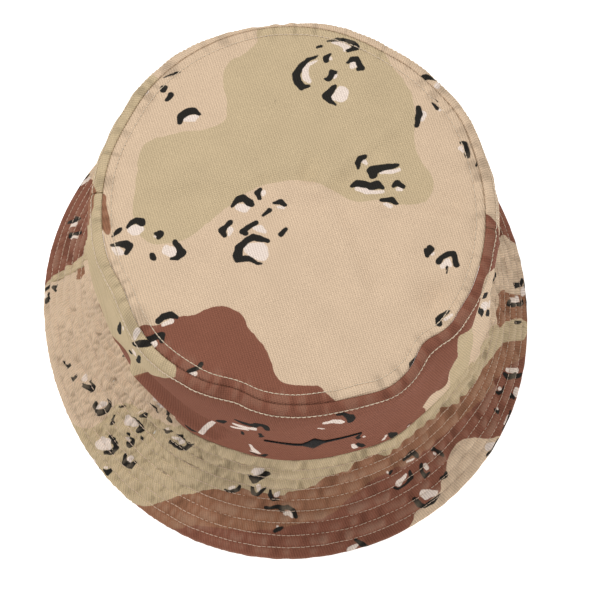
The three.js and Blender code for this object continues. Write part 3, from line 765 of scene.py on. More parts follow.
def inside_strokes(points, strokes, reach=4):
    """How far inside the brush strokes each point is, negative outside and worked out within reach."""
    best = np.full(len(points), -FAR)
    for stroke in strokes:
        low = stroke[:, :2].min(0) - reach
        high = stroke[:, :2].max(0) + reach
        near = np.nonzero(((points > low) & (points < high)).all(1))[0]
        if not len(near):
            continue
        local = points[near]
        for (x0, y0, r0), (x1, y1, r1) in zip(stroke, stroke[1:]):
            dx, dy = x1 - x0, y1 - y0
            share = ((local[:, 0] - x0) * dx + (local[:, 1] - y0) * dy) / (dx * dx + dy * dy)
            share = np.clip(share, 0, 1)
            away = np.hypot(local[:, 0] - x0 - share * dx, local[:, 1] - y0 - share * dy)
            best[near] = np.maximum(best[near], r0 + (r1 - r0) * share - away)
    return best


def ink_wander(x, y, seed, slow_start, quick_start):
    """How far the print's edges stray, as ink does on a weave."""
    slow = noise(x / 4 + slow_start[0], y / 4 + slow_start[1], seed)
    quick = noise(x / 1.7 + quick_start[0], y / 1.7 + quick_start[1], seed + 2)
    return 0.35 * slow + 0.22 * quick


def print_fields(u, v, panel, seed, scale=1.0):
    """How far inside each colour the points are. u and v are in the print's own units."""
    x, y = u * scale, v
    x = x + ink_wander(x, y, seed, (99, 31), (50, 8))
    y = y + ink_wander(x, y, seed + 1, (15, 77), (90, 5))
    points = np.stack([x, y], -1).reshape(-1, 2)
    blotches, black, pebbles = panel
    fields = {}
    for layer in ("khaki", "mid", "dark", "tan"):
        field = np.full(len(points), -FAR)
        for outline in blotches.get(layer, []):
            outline = smooth_outline(outline) * (scale, 1)
            field = np.maximum(field, inside_by(points, outline))
        fields[layer] = field
    for layer, strokes in (("black", black), ("pebble", pebbles)):
        strokes = [np.array(stroke) * (scale, 1, 1) for stroke in strokes]
        fields[layer] = inside_strokes(points, strokes)
    return {name: np.clip(f, -FAR, FAR).reshape(u.shape) for name, f in fields.items()}


def seen_degrees(theta):
    """Degrees from the front, running on from the left seam all the way round."""
    slack = 0.01
    return (np.degrees(theta) + 90 - LEFT_SEAM + slack) % 360 + LEFT_SEAM - slack


# A tucked-in or pushed-out base seam slides the cloth's visible print up or down beside it.

def side_print(theta, over):
    """Where a place on the side lies in the side's print."""
    tuck = 2.5 * pulled(theta, BASE_SEAM_PULLS) * (1 - SIDE.at(over)) ** 3
    return seen_degrees(theta), over - tuck


def brim_print(theta, over):
    """Where a place on the brim lies in the brim's print."""
    share = np.clip(over / BRIM.length, 0, 1)
    return seen_degrees(theta), over + 2.6 * pulled(theta, BASE_SEAM_PULLS) * (1 - share) ** 5


# The marks on this stretch of the front come again at the back, this many degrees further on.
REPEATED_STRETCH = (-72, 54)
BACK_REPEAT = 183


def repeated(strokes):
    """The marks on the front of a ring of cloth, and again at its back."""
    low, high = REPEATED_STRETCH
    inner = [stroke for stroke in strokes if low < stroke[0][0] < high]
    return strokes + [[(u + BACK_REPEAT, v, radius) for u, v, radius in stroke] for stroke in inner]


TOP_PRINT = (TOP_BLOTCHES, TOP_BLACK, TOP_PEBBLES)
SIDE_PRINT = (SIDE_BLOTCHES, repeated(SIDE_BLACK), repeated(SIDE_PEBBLES))
BRIM_PRINT = (BRIM_BLOTCHES, repeated(BRIM_BLACK), repeated(BRIM_PEBBLES))


# ---------------------------------------------------------------- meshes

def make_piece(name, points, faces, material, fields=None):
    """A smooth-shaded object, with one stored attribute for each field."""
    mesh = bpy.data.meshes.new(name)
    mesh.from_pydata((points * MM).tolist(), [], faces)
    mesh.validate()
    mesh.shade_smooth()
    for key, values in (fields or {}).items():
        values = np.asarray(values, np.float32)
        kind, slot = ("FLOAT", "value") if values.ndim == 1 else ("FLOAT_VECTOR", "vector")
        attribute = mesh.attributes.new(key, kind, "POINT")
        attribute.data.foreach_set(slot, values.ravel())
    mesh.materials.append(material)
    piece = bpy.data.objects.new(name, mesh)
    bpy.context.scene.collection.objects.link(piece)
    return piece


def skin_faces(rows, cols, closed, start=0):
    """Quads over a (rows, columns) grid of points."""
    i, j = np.meshgrid(np.arange(rows - 1), np.arange(cols if closed else cols - 1), indexing="ij")
    k = (j + 1) % cols
    quads = np.stack([i * cols + j, i * cols + k, (i + 1) * cols + k, (i + 1) * cols + j], -1)
    return start + quads.reshape(-1, 4)


def shell(outer, inner, closed):
    """A cloth with a fine outer skin and an inner skin at half its fineness, joined at the edges.

    Both grids have the same (rows, columns, 3) shape, and every second point of the inner one is
    used. Open grids have odd counts, and closed ones an even count of columns.
    """
    inner = inner[::2, ::2]
    rows, cols = outer.shape[:2]
    inner_rows, inner_cols = inner.shape[:2]
    base = rows * cols
    points = np.concatenate([outer.reshape(-1, 3), inner.reshape(-1, 3)])
    faces = skin_faces(rows, cols, closed).tolist()
    faces += skin_faces(inner_rows, inner_cols, closed, base)[:, ::-1].tolist()
    for row, inner_row, turn in ((0, 0, 1), (rows - 1, inner_rows - 1, -1)):
        for j in range(0, cols if closed else cols - 1, 2):
            edge = [row * cols + (j + step) % cols for step in range(3)]
            back = [base + inner_row * inner_cols + (j // 2 + step) % inner_cols for step in (1, 0)]
            faces.append((edge + back)[::-turn])
    if not closed:
        for col, inner_col, turn in ((0, 0, -1), (cols - 1, inner_cols - 1, 1)):
            for i in range(0, rows - 1, 2):
                edge = [(i + step) * cols + col for step in range(3)]
                back = [base + (i // 2 + step) * inner_cols + inner_col for step in (1, 0)]
                faces.append((edge + back)[::-turn])
    return points, faces


def both_skins(fields):
    """Fields of the outer skin, repeated on the coarser inner one, with a mark for the cloth's back."""

    def doubled(front, back):
        tail = front.shape[2:]
        return np.concatenate([front.reshape(-1, *tail), back[::2, ::2].reshape(-1, *tail)])

    flat = {key: doubled(field, field) for key, field in fields.items()}
    front = np.zeros(fields["cloth"].shape[:2])
    flat["reverse"] = doubled(front, front + 1)
    return flat


def odd(count):
    """An odd number near a count, for a grid that shell() can halve."""
    return int(count) // 2 * 2 + 1


def sweep_angles(start, end, spacing, radius):
    """Angles from start to end in degrees, about so many millimetres apart at a radius."""
    return angle(np.linspace(start, end, odd(math.radians(end - start) * radius / spacing)))


def cloth_place(u, v):
    """Where each point lies on the flat cloth, for its weave."""
    return np.stack(np.broadcast_arrays(u, v, 0 * u), -1)


# ---------------------------------------------------------------- materials

RELIEF = 0.0003  # the height of a weave's bumps, in metres


class Nodes:
    """Short calls for the nodes that the materials share."""

    def __init__(self, tree):
        self.tree = tree

    def add(self, kind, **settings):
        node = self.tree.nodes.new(kind)
        for key, value in settings.items():
            setattr(node, key, value)
        return node

    def link(self, source, target):
        self.tree.links.new(source, target)

    def attribute(self, name):
        return self.add("ShaderNodeAttribute", attribute_name=name)

    def feed(self, socket, value):
        """Links a socket to another one, or sets its value."""
        if hasattr(value, "node"):
            self.link(value, socket)
        else:
            socket.default_value = value

    def math(self, operation, a, b):
        node = self.add("ShaderNodeMath", operation=operation)
        self.feed(node.inputs[0], a)
        self.feed(node.inputs[1], b)
        return node.outputs[0]

    def total(self, base, *parts):
        """A base and the sum of (signal, weight) parts."""
        for signal, weight in parts:
            base = self.math("ADD", base, self.math("MULTIPLY", signal, weight))
        return base

    def mix(self, factor, a, b, blend="MIX"):
        node = self.add("ShaderNodeMix", data_type="RGBA", blend_type=blend)
        # Sockets 6, 7 and, going out, 2 are the colour ones.
        for index, value in ((0, factor), (6, a), (7, b)):
            self.feed(node.inputs[index], value)
        return node.outputs[2]

    def noise(self, vector, scale, detail=3.0, roughness=0.5):
        node = self.add("ShaderNodeTexNoise")
        self.link(vector, node.inputs["Vector"])
        node.inputs["Scale"].default_value = scale
        node.inputs["Detail"].default_value = detail
        node.inputs["Roughness"].default_value = roughness
        return node.outputs["Fac"]

    def bands(self, vector, direction, scale, distortion, detail=2.0, detail_scale=1.0):
        node = self.add("ShaderNodeTexWave", wave_type="BANDS", bands_direction=direction)
        self.link(vector, node.inputs["Vector"])
        node.inputs["Scale"].default_value = scale
        node.inputs["Distortion"].default_value = distortion
        node.inputs["Detail"].default_value = detail
        node.inputs["Detail Scale"].default_value = detail_scale
        return node.outputs["Fac"]

    def edge(self, field, softness=0.22):
        """0 outside an outline and 1 inside it, with a slightly soft edge."""
        node = self.add("ShaderNodeMapRange", interpolation_type="SMOOTHSTEP")
        self.link(field, node.inputs["Value"])
        node.inputs["From Min"].default_value = -softness
        node.inputs["From Max"].default_value = softness
        return node.outputs["Result"]

    def bump(self, height, strength, distance=RELIEF, normal=None):
        node = self.add("ShaderNodeBump")
        node.inputs["Strength"].default_value = strength
        node.inputs["Distance"].default_value = distance
        self.link(height, node.inputs["Height"])
        if normal is not None:
            self.link(normal, node.inputs["Normal"])
        return node.outputs["Normal"]


def new_material(name):
    """A material, the maker of its nodes and its shader."""
    material = bpy.data.materials.new(name)
    material.use_nodes = True
    return material, Nodes(material.node_tree), material.node_tree.nodes["Principled BSDF"]


ONE_BAND = math.pi / 10  # the wave texture's scale that gives one band to a unit


def twill_weave(n, place, pitch, rib_share):
    """The diagonal ribs of twill, with the single threads that cross them."""
    turned = n.add("ShaderNodeMapping")
    turned.inputs["Rotation"].default_value = (0, 0, math.radians(-15))
    turned.inputs["Scale"].default_value = (1 / pitch, 1 / pitch, 1)
    n.link(place, turned.inputs["Vector"])
    ribs = n.bands(turned.outputs[0], "X", ONE_BAND, 1.1, detail=2, detail_scale=2.2)
    threads = n.bands(turned.outputs[0], "Y", ONE_BAND * 1.3, 1.6, detail=1)
    return n.total(n.math("MULTIPLY", ribs, rib_share), (threads, 1 - rib_share))


PRINT_PITCH = 1.1  # millimetres between the ribs of the printed twill


def printed_twill(name):
    """Desert pebble print on cotton twill, read from the fields stored on the mesh."""
    material, n, shader = new_material(name)
    place = n.attribute("cloth").outputs["Vector"]
    colour = TAN
    for layer, paint in PAINTS:
        colour = n.mix(n.edge(n.attribute(layer).outputs["Fac"]), colour, paint)

    weave = twill_weave(n, place, PRINT_PITCH, 0.65)
    fuzz = n.noise(place, 1.1, 4.0, 0.65)
    patches = n.noise(place, 0.06, 4.0)
    wear_and_shade = n.attribute("wear_and_shade").outputs["Fac"]
    # Below nought the field is painted shade: it darkens the cloth in hollows and along rows of stitching.
    # Above nought it is rubbing wear, which pales the cloth.
    painted_hollow_shade = n.math("MINIMUM", wear_and_shade, 0.0)
    tone = n.total(0.66, (weave, 0.34), (fuzz, 0.18), (patches, 0.18), (painted_hollow_shade, 0.26))
    shade = n.add("ShaderNodeCombineColor")
    for socket in shade.inputs:
        n.link(tone, socket)
    colour = n.mix(1.0, colour, shade.outputs[0], "MULTIPLY")
    worn = n.math("MULTIPLY", n.math("MAXIMUM", wear_and_shade, 0.0), n.math("ADD", 0.35, fuzz))
    colour = n.mix(n.math("MULTIPLY", worn, 0.17), colour, WORN)
    # The print hardly reaches the back of the cloth.
    back = n.math("MULTIPLY", n.attribute("reverse").outputs["Fac"], 0.62)
    colour = n.mix(back, colour, CLOTH_BACK)
    n.link(colour, shader.inputs["Base Color"])

    n.link(n.total(0.82, (fuzz, 0.14)), shader.inputs["Roughness"])
    shader.inputs["Specular IOR Level"].default_value = 0.04
    n.link(n.bump(fuzz, 0.25, normal=n.bump(weave, 0.8)), shader.inputs["Normal"])
    return material


def plain_cloth(name, colour, pitch, roughness=0.85, sheen=0.15, rib=0.5):
    """An unprinted cotton with a visible weave."""
    material, n, shader = new_material(name)
    place = n.attribute("cloth").outputs["Vector"]
    weave = twill_weave(n, place, pitch, 0.6)
    fuzz = n.noise(place, 1.8, 4.0, 0.6)
    patches = n.noise(place, 0.05, 2.0)
    dark = [c * 0.72 for c in colour[:3]] + [1]
    tone = n.total(n.math("MULTIPLY", weave, 0.45), (fuzz, 0.35), (patches, 0.3))
    n.link(n.mix(tone, dark, colour), shader.inputs["Base Color"])
    n.link(n.total(roughness - 0.06, (fuzz, 0.12)), shader.inputs["Roughness"])
    shader.inputs["Sheen Weight"].default_value = sheen
    shader.inputs["Specular IOR Level"].default_value = 0.25
    n.link(n.bump(weave, rib), shader.inputs["Normal"])
    return material


def thread_material(name, colour, roughness=0.6, sheen=0.1):
    """Twisted sewing thread, lighter on its crowns."""
    material, n, shader = new_material(name)
    place = n.add("ShaderNodeTexCoord").outputs["Object"]
    twist = n.bands(place, "DIAGONAL", 700, 3)
    speck = n.noise(place, 90, 2.0)
    dark = [c * 0.66 for c in colour[:3]] + [1]
    tone = n.total(n.math("MULTIPLY", twist, 0.5), (speck, 0.6))
    n.link(n.mix(tone, dark, colour), shader.inputs["Base Color"])
    shader.inputs["Roughness"].default_value = roughness
    shader.inputs["Sheen Weight"].default_value = sheen
    shader.inputs["Specular IOR Level"].default_value = 0.2
    n.link(n.bump(twist, 0.5, distance=RELIEF / 3), shader.inputs["Normal"])
    return material


PRINT = printed_twill("printed_twill")
THREAD = thread_material("cream_thread", linear("#e6d2b8"))
# The brim's rows are the same cream thread, painted darker for the shade where it sinks between the puffs.
SHADED_BRIM_THREAD = thread_material("cream_thread_painted_shade", linear("#e0c6ae"))
EMBROIDERY = thread_material("dark_embroidery_thread", linear("#151312"), 0.75, sheen=0)
TAPE = plain_cloth("cotton_tape", linear("#c9b896"), 0.7)
SWEAT = plain_cloth("sweatband_cotton", linear("#c3b08c"), 0.9)
FELT = plain_cloth("stiffener_felt", linear("#e4dfd3"), 1.8, rib=0.2)
SATIN = plain_cloth("label_satin", linear("#f1eee7"), 0.35, roughness=0.45, sheen=0.35, rib=0.3)

# ---------------------------------------------------------------- the crown


def fix(piece, body, nodes, slot, **sheet):
    """Says which body a piece rides on and hides the CAD nodes it stands for. How it is held (sheet) is
    not used.
    """
    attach(piece, body)
    if nodes:
        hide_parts(*nodes)


def seam_wear_and_shade(theta, from_seam):
    """Short streaks across the seam: pale where a pucker is rubbed, and painted shade, dark, in the hollow
    beside it.
    """
    streaks = round_noise(theta, from_seam / 9, 230, 97) + 0.6 * round_noise(theta, 0.5, 120, 98)
    return np.clip(1.3 * bump(from_seam, 2.5, 3) * streaks, -1, 0.4)


MIDDLE_HOLE = 0.004  # where the top panel's rings of points begin, as a share of the way out
SEAM_GAP = 0.08  # degrees between a side panel's edge and the middle of its seam


def add_top_panel():
    theta = sweep_angles(0, 360, GRAIN, CROWN_RADIUS)[:-1]
    t, share = np.meshgrid(theta, np.linspace(MIDDLE_HOLE, 1, odd(CROWN_RADIUS / GRAIN)))
    outer = top_skin(t, share)
    inner = outer - np.array([0, 0, TWILL])
    x, y = outer[..., 0], outer[..., 1] - TOP["y"]
    fields = print_fields(x, y, TOP_PRINT, 51)
    # Rubbed streaks, and painted shade in the hollows, across the seam.
    fields["wear_and_shade"] = seam_wear_and_shade(t, (1 - share) * CROWN_RADIUS)
    fields["cloth"] = cloth_place(x, y)
    points, faces = shell(outer, inner, closed=True)
    # shell() joins its skins round the tiny hole in the middle. That strip goes, and one face closes
    # the hole in each skin.
    cols, base = len(theta), outer.shape[0] * len(theta)
    outer_ring, inner_ring = list(range(cols)), list(range(base, base + cols // 2))
    rim = set(outer_ring + inner_ring)
    faces = [face for face in faces if len(face) == 4 or not set(face) <= rim]
    faces += [outer_ring[::-1], inner_ring]
    piece = make_piece("crown_top_panel", points, faces, PRINT, both_skins(fields))
    area = math.pi * TOP["a"] * TOP["b"] * MM * MM
    fix(piece, "hat", ["crown_top"], "tan_twill", flat=(0.169, 0.182), held="stretched", area=area)


def add_side_panels():
    over = np.linspace(0.2, SIDE.length - 0.05, odd(SIDE.length / GRAIN))
    for half, start, end in HALVES:
        t, v = np.meshgrid(sweep_angles(start + SEAM_GAP, end - SEAM_GAP, GRAIN, SIDE_RADIUS), over)
        outer = side_skin(t, v)
        inner = outer - outward(outer, normals(outer)) * TWILL
        fields = print_fields(*side_print(t, v), SIDE_PRINT, 53, SIDE_SCALE)
        # Rubbed streaks, and painted shade in the hollows, across the seam.
        fields["wear_and_shade"] = seam_wear_and_shade(t, SIDE.length - v)
        fields["cloth"] = cloth_place(seen_degrees(t) * SIDE_SCALE, v)
        points, faces = shell(outer, inner, closed=False)
        piece = make_piece(f"crown_side_{half}_panel", points, faces, PRINT, both_skins(fields))
        fix(piece, "hat", [f"crown_side_{half}"], "brown_twill", flat=(0.296, 0.085), held="stretched")


# ---------------------------------------------------------------- the brim

BRIM_GAP = 0.06  # degrees between a panel's edge and the middle of its seam
LAYER_GAP = 0.1
HEM_ROOM = 1.6  # where the hem's round edge begins, in from the brim's edge


def hem_profile(skin):
    """Carries the upper skin round the brim's edge and a little way back under it."""
    end = skin[-1]
    forward = end - skin[-3]
    forward /= np.linalg.norm(forward, axis=-1, keepdims=True)
    across = np.gradient(end, axis=0)
    across /= np.linalg.norm(across, axis=-1, keepdims=True)
    n = np.cross(forward, across)
    n *= np.sign(n[..., 2:])
    radius = HEM_DEPTH / 2
    centre = end - n * radius
    turns = np.linspace(0, math.pi, 9)[1:]
    round_it = [centre + radius * (n * math.cos(a) + forward * math.sin(a)) for a in turns]
    under = [round_it[-1] - forward * step for step in np.linspace(0, HEM_WIDTH, 7)[1:]]
    return np.array(round_it + under)


def add_brim_panel(half, start, end):
    theta = sweep_angles(start + BRIM_GAP, end - BRIM_GAP, GRAIN, BRIM_RADIUS)
    t, v = np.meshgrid(theta, np.linspace(0, BRIM.length - HEM_ROOM, odd(BRIM.length / GRAIN)))
    skin = brim_skin(t, v)
    outer = np.concatenate([skin, hem_profile(skin)])
    round_edge = outer[len(skin) - 1 :]
    extra = v[-1] + np.cumsum(np.linalg.norm(np.diff(round_edge, axis=0), axis=-1), 0)
    n = normals(outer)
    n *= np.sign(n[0, :, 2].mean())
    inner = outer - n * TWILL
    # The edge rests on the ground and doesn't sink into it.
    outer[..., 2] = np.maximum(outer[..., 2], 0.05)
    inner[..., 2] = np.maximum(inner[..., 2], 0.6)
    puffs = np.concatenate([brim_relief(t, v), np.zeros_like(extra)])
    t = np.concatenate([t, np.broadcast_to(t[:1], extra.shape)])
    v = np.concatenate([v, extra])
    fields = print_fields(*brim_print(t, v), BRIM_PRINT, 55, BRIM_SCALE)
    # Paler where the puffs and the edge are rubbed; painted shade, darker, in the hollows between puffs
    # and along the rows of stitching.
    fields["wear_and_shade"] = np.clip(1.2 * puffs + bump(v, BRIM.length, 1.8), -1, 1)
    fields["cloth"] = cloth_place(seen_degrees(t) * BRIM_SCALE, -v)
    points, faces = shell(outer, inner, closed=False)
    piece = make_piece(f"brim_{half}_panel", points, faces, PRINT, both_skins(fields))
    fix(piece, "hat", [f"brim_top_{half}"], "brown_twill", flat=(0.345, 0.07), held="stretched")


# The brim's lower layers: name, depths, how far short of the edge they stop, material, CAD node, slot
BRIM_LAYERS = (
    ("stiffener", STIFFENER_DEPTHS, STIFFENER_SHORT, FELT, "brim_stiffener", "stiffener"),
    ("underside", UNDER_DEPTHS, UNDER_SHORT, PRINT, "brim_under", "tan_twill"),
)
UNDER_TURN = 167  # the underside's print is turned over and round from the upper side's


def add_brim_layer(half, start, end, layer, depths, short, material, node, slot):
    theta = sweep_angles(start + LAYER_GAP, end - LAYER_GAP, LAYER_GRAIN, LAYER_RADIUS)
    t, v = np.meshgrid(theta, np.linspace(0.2, BRIM.length - short, odd(BRIM.length / LAYER_GRAIN)))
    fields = {"cloth": cloth_place(seen_degrees(t) * BRIM_SCALE, -v)}
    waves = brim_waves(t, v)
    if layer == "underside":
        puffs = 0.5 * under_relief(t, v)
        lifts = waves - depths[0], waves - depths[1] - puffs
        turned = (UNDER_TURN - seen_degrees(t)) % 360 + LEFT_SEAM
        fields.update(print_fields(turned, v, BRIM_PRINT, 57, BRIM_SCALE))
        fields["wear_and_shade"] = np.clip(puffs * 0.4, 0, 1)
    else:
        # The stiffener sinks with the cloth over it.
        sunk = np.minimum(brim_relief(t, v) + 0.2, 0)
        lifts = waves + sunk - depths[0], waves + 0.4 * sunk - depths[1]
    top, bottom = (lifted(BRIM.point, t, v, lift) for lift in lifts)
    for skin in (top, bottom):
        skin[..., 2] = np.maximum(skin[..., 2], 0.7)
    points, faces = shell(bottom, top, closed=False)
    piece = make_piece(f"brim_{half}_{layer}", points, faces, material, both_skins(fields))
    fix(piece, "hat", [f"{node}_{half}"], slot, flat=(0.335, 0.056), held="stretched")


def add_brim():
    for half, start, end in HALVES:
        add_brim_panel(half, start, end)
        for layer in BRIM_LAYERS:
            add_brim_layer(half, start, end, *layer)


# ---------------------------------------------------------------- inside the crown

BAND_HEIGHT = 32
BAND_STITCHES = {"lower": 2.2, "upper": 29.6}  # heights of the sweatband's two rows of stitching
TAPE_HEIGHTS = (35, 70)  # the side seam tapes' stretch above the sweatband
TAPE_HALF = 3.75  # degrees
TOP_TAPE_INSETS = (10.6, 2.4)  # the top seam tape's edges, in from the seam


def lining_strip(name, theta, over, depths, material, closed, puckers=None):
    """A strip of cloth that follows the inside of the crown's side, between two depths."""
    t, v = np.meshgrid(theta, over)
    lift = side_relief(t, v)
    inner_lift = lift - depths[1]
    if puckers:
        inner_lift = inner_lift + puckers(t, v)
    inner = lifted(SIDE.point, t, v, inner_lift)
    outer = lifted(SIDE.point, t, v, lift - depths[0])
    points, faces = shell(inner, outer, closed)
    fields = {"cloth": cloth_place(seen_degrees(t) * SIDE_SCALE, v)}
    return make_piece(name, points, faces, material, both_skins(fields))


def band_puckers(theta, over):
    """The band dips at its two rows of stitching and waves a little between them."""
    edges = sum(0.3 * bump(over, height, 0.9) for height in BAND_STITCHES.values())
    return edges - 0.25 * round_noise(theta, over / 20, 60, 95) * bump(over, BAND_HEIGHT / 2, 14)


def add_sweatband():
    """A folded cotton band, stitched along its top and bottom."""
    theta = sweep_angles(0, 360, LINING_GRAIN, BAND_RADIUS)[:-1]
    over = np.linspace(0.6, BAND_HEIGHT, odd(BAND_HEIGHT / LINING_GRAIN))
    piece = lining_strip("sweatband_cloth", theta, over, (1.2, 2.1), SWEAT, True, band_puckers)
    fix(piece, "hat", ["sweatband"], "cotton_tape", flat=(0.578, 0.033), held="stretched")
    theta = angle(np.linspace(0, 360, 900, endpoint=False))
    for name, height in BAND_STITCHES.items():
        over = np.full_like(theta, height)
        path = lifted(SIDE.point, theta, over, side_relief(theta, over) - 2.0)
        points, faces = stitches(path, -upward(SIDE.point, theta, over))
        fix(make_piece(f"sweatband_{name}_stitches", points, faces, THREAD), "hat", [], "thread")


def add_seam_tapes():
    """Cotton tape under the top seam and over the open stretch of each side seam."""
    theta = sweep_angles(0, 360, LINING_GRAIN, CROWN_RADIUS)[:-1]
    t, share = np.meshgrid(theta, 1 - np.linspace(*TOP_TAPE_INSETS, 7) / CROWN_RADIUS)
    under = top_skin(t, share)
    points, faces = shell(under - [0, 0, 2.0], under - [0, 0, 1.1], closed=True)
    fields = {"cloth": cloth_place(seen_degrees(t) * SIDE_SCALE, share * CROWN_RADIUS)}
    piece = make_piece("top_seam_tape_cloth", points, faces, TAPE, both_skins(fields))
    fix(piece, "hat", ["top_seam_tape"], "cotton_tape", flat=(0.54, 0.01), held="stretched")
    over = np.linspace(*TAPE_HEIGHTS, 29)
    for side, middle in (("left", LEFT_SEAM), ("right", RIGHT_SEAM)):
        theta = angle(np.linspace(middle - TAPE_HALF, middle + TAPE_HALF, 11))
        node = f"side_seam_tape_{side}"
        piece = lining_strip(f"{node}_cloth", theta, over, (1.1, 1.9), TAPE, False)
        fix(piece, "hat", [node], "cotton_tape", flat=(0.035, 0.012), held="stretched")


LABELS = {"care_label": (28, 32), "size_label": (14, 16)}  # width and height
LABEL_THICK = 0.4
LABEL_CURL = 0.7  # how far a label's free edge curls inwards
TAB_HEIGHTS = (0.4, 3.2)  # a sewn tab's stretch above its label's hinge
TAB_LEAN = 0.9  # how far out the tab's top leans


def satin_piece(name, place, across, u, off, down):
    """Thin satin on both sides of a surface that hangs from a place, off it by so much outwards."""
    out = np.array([-across[1], across[0], 0.0])
    middle = place + u[..., None] * across + off[..., None] * out - down[..., None] * [0, 0, 1.0]
    half = out * LABEL_THICK / 2
    points, faces = shell(middle - half, middle + half, closed=False)
    return make_piece(name, points, faces, SATIN, both_skins({"cloth": cloth_place(u, down)}))


def add_labels():
    """Satin labels that hang from their hinges, each with a small sewn tab above it."""
    for joint in frame["joints"]:
        body = joint["child"]
        width, height = LABELS[body]
        place = np.array(joint["pos_m"]) / MM
        across = -np.array(joint["axis"])
        u, down = np.meshgrid(np.linspace(-width / 2, width / 2, 25), np.linspace(0, height, 29))
        curl = 0.2 - LABEL_CURL * (down / height) ** 2 * (1 + 0.4 * np.cos(u / width * 6))
        piece = satin_piece(f"{body}_satin", place, across, u, curl, down)
        fix(piece, body, [body], "label_satin", flat=(width * MM, height * MM), held="hung")

        u, up = np.meshgrid(np.linspace(-width / 2, width / 2, 9), np.linspace(*TAB_HEIGHTS, 5))
        lean = TAB_LEAN * up / TAB_HEIGHTS[1]
        piece = satin_piece(f"{body}_sewn_tab", place, across, u, lean, -up)
        fix(piece, "hat", [], "label_satin")


# ---------------------------------------------------------------- the embroidered ornament

ORNAMENT_AT = 4  # degrees from the front
ORNAMENT_HEIGHT = 38  # its middle, over the cloth from the crown's base
ORNAMENT_REACH = 22
BAR_HALF = 1.7
BAR_TIP_HALF = 0.5
DIAMOND_REACH = 6
DIAMOND_HALF = 8
THREAD_PITCH = 0.5


def ornament_half_height(u):
    """A diamond in the middle of a bar that tapers at both ends."""
    u = np.abs(u)
    bar = BAR_HALF - (BAR_HALF - BAR_TIP_HALF) * u / ORNAMENT_REACH
    diamond = DIAMOND_HALF * (1 - u / DIAMOND_REACH)
    return np.maximum(bar, diamond)


def add_ornament():
    """Satin stitch: upright threads laid side by side, each a little different in length."""
    rng = np.random.RandomState(96)
    columns = np.arange(-ORNAMENT_REACH, ORNAMENT_REACH + 0.01, THREAD_PITCH)
    half = ornament_half_height(columns) + rng.uniform(-0.25, 0.25, len(columns))
    share = np.linspace(-1, 1, 9)
    u = columns[:, None] + rng.uniform(-0.06, 0.06, len(columns))[:, None] + 0 * share
    v = ORNAMENT_HEIGHT + half[:, None] * share
    theta = angle(ORNAMENT_AT + u / SIDE_SCALE)
    skin = side_skin(theta, v)
    up = upward(SIDE.point, theta, v)
    tangent = np.gradient(skin, axis=1)
    tangent /= np.linalg.norm(tangent, axis=-1, keepdims=True)
    side = np.cross(tangent, up)
    arch = np.sqrt(1 - 0.9 * share**2)
    centre = skin + up * (0.45 * arch)[:, None]
    turn = np.linspace(0, 2 * np.pi, 8, endpoint=False)
    ring = 0.3 * np.cos(turn)[:, None] * side[:, :, None] + 0.34 * np.sin(turn)[:, None] * up[:, :, None]
    points = (centre[:, :, None] + ring * (0.4 + 0.6 * arch)[None, :, None, None]).reshape(-1, 3)
    faces = tube_faces(len(columns), len(share), len(turn))
    piece = make_piece("front_ornament_threads", points, faces, EMBROIDERY)
    fix(piece, "hat", ["front_ornament"], "embroidery")


# ---------------------------------------------------------------- topstitching

def tube_faces(count, samples, sides):
    """Faces of closed tubes, each of so many rings of so many points."""
    rings = skin_faces(count * samples, sides, closed=True).reshape(count * samples - 1, sides, 4)
    keep = np.arange(count * samples - 1) % samples != samples - 1
    faces = rings[keep].reshape(-1, 4).tolist()
    for tube in range(count):
        first = tube * samples * sides
        last = first + (samples - 1) * sides
        faces.append(list(range(first, first + sides))[::-1])
        faces.append(list(range(last, last + sides)))
    return faces


def stitches(path, up, length=2.2, gap=0.1, thickness=0.5, rise=0.3, sink=0.0):
    """Separate stitches along a closed path of points, each one diving in at its ends."""
    closed = np.concatenate([path, path[:1]])
    up = np.concatenate([up, up[:1]])
    over = np.concatenate([[0], np.cumsum(np.linalg.norm(np.diff(closed, axis=0), axis=1))])
    count = int(over[-1] / (length + gap))
    pitch = over[-1] / count
    samples, sides = 7, 6
    share = np.linspace(0, 1, samples)
    at = np.arange(count)[:, None] * pitch + share * (pitch - gap)

    def along(values):
        return np.stack([np.interp(at, over, values[:, i]) for i in range(3)], -1)

    centre, normal = along(closed), along(up)
    normal /= np.linalg.norm(normal, axis=-1, keepdims=True)
    tangent = np.gradient(centre, axis=1)
    tangent /= np.linalg.norm(tangent, axis=-1, keepdims=True)
    side = np.cross(tangent, normal)
    arch = np.sin(np.pi * share)
    centre = centre + normal * (rise * arch - sink)[:, None]
    radius = thickness / 2 * (0.6 + 0.4 * arch**0.35)
    turn = np.linspace(0, 2 * np.pi, sides, endpoint=False)
    ring = np.cos(turn)[:, None] * side[:, :, None] + np.sin(turn)[:, None] * normal[:, :, None]
    points = centre[:, :, None] + ring * radius[None, :, None, None]
    return points.reshape(-1, 3), tube_faces(count, samples, sides)


def add_stitch_row(name, node, path, up, material=THREAD, **shape):
    points, faces = stitches(path, up, **shape)
    fix(make_piece(name, points, faces, material), "hat", [node], "thread")


def skin_path(skin, theta, v, surface_point):
    """A path over a skin and the directions away from it."""
    return skin(theta, v), upward(surface_point, theta, v)


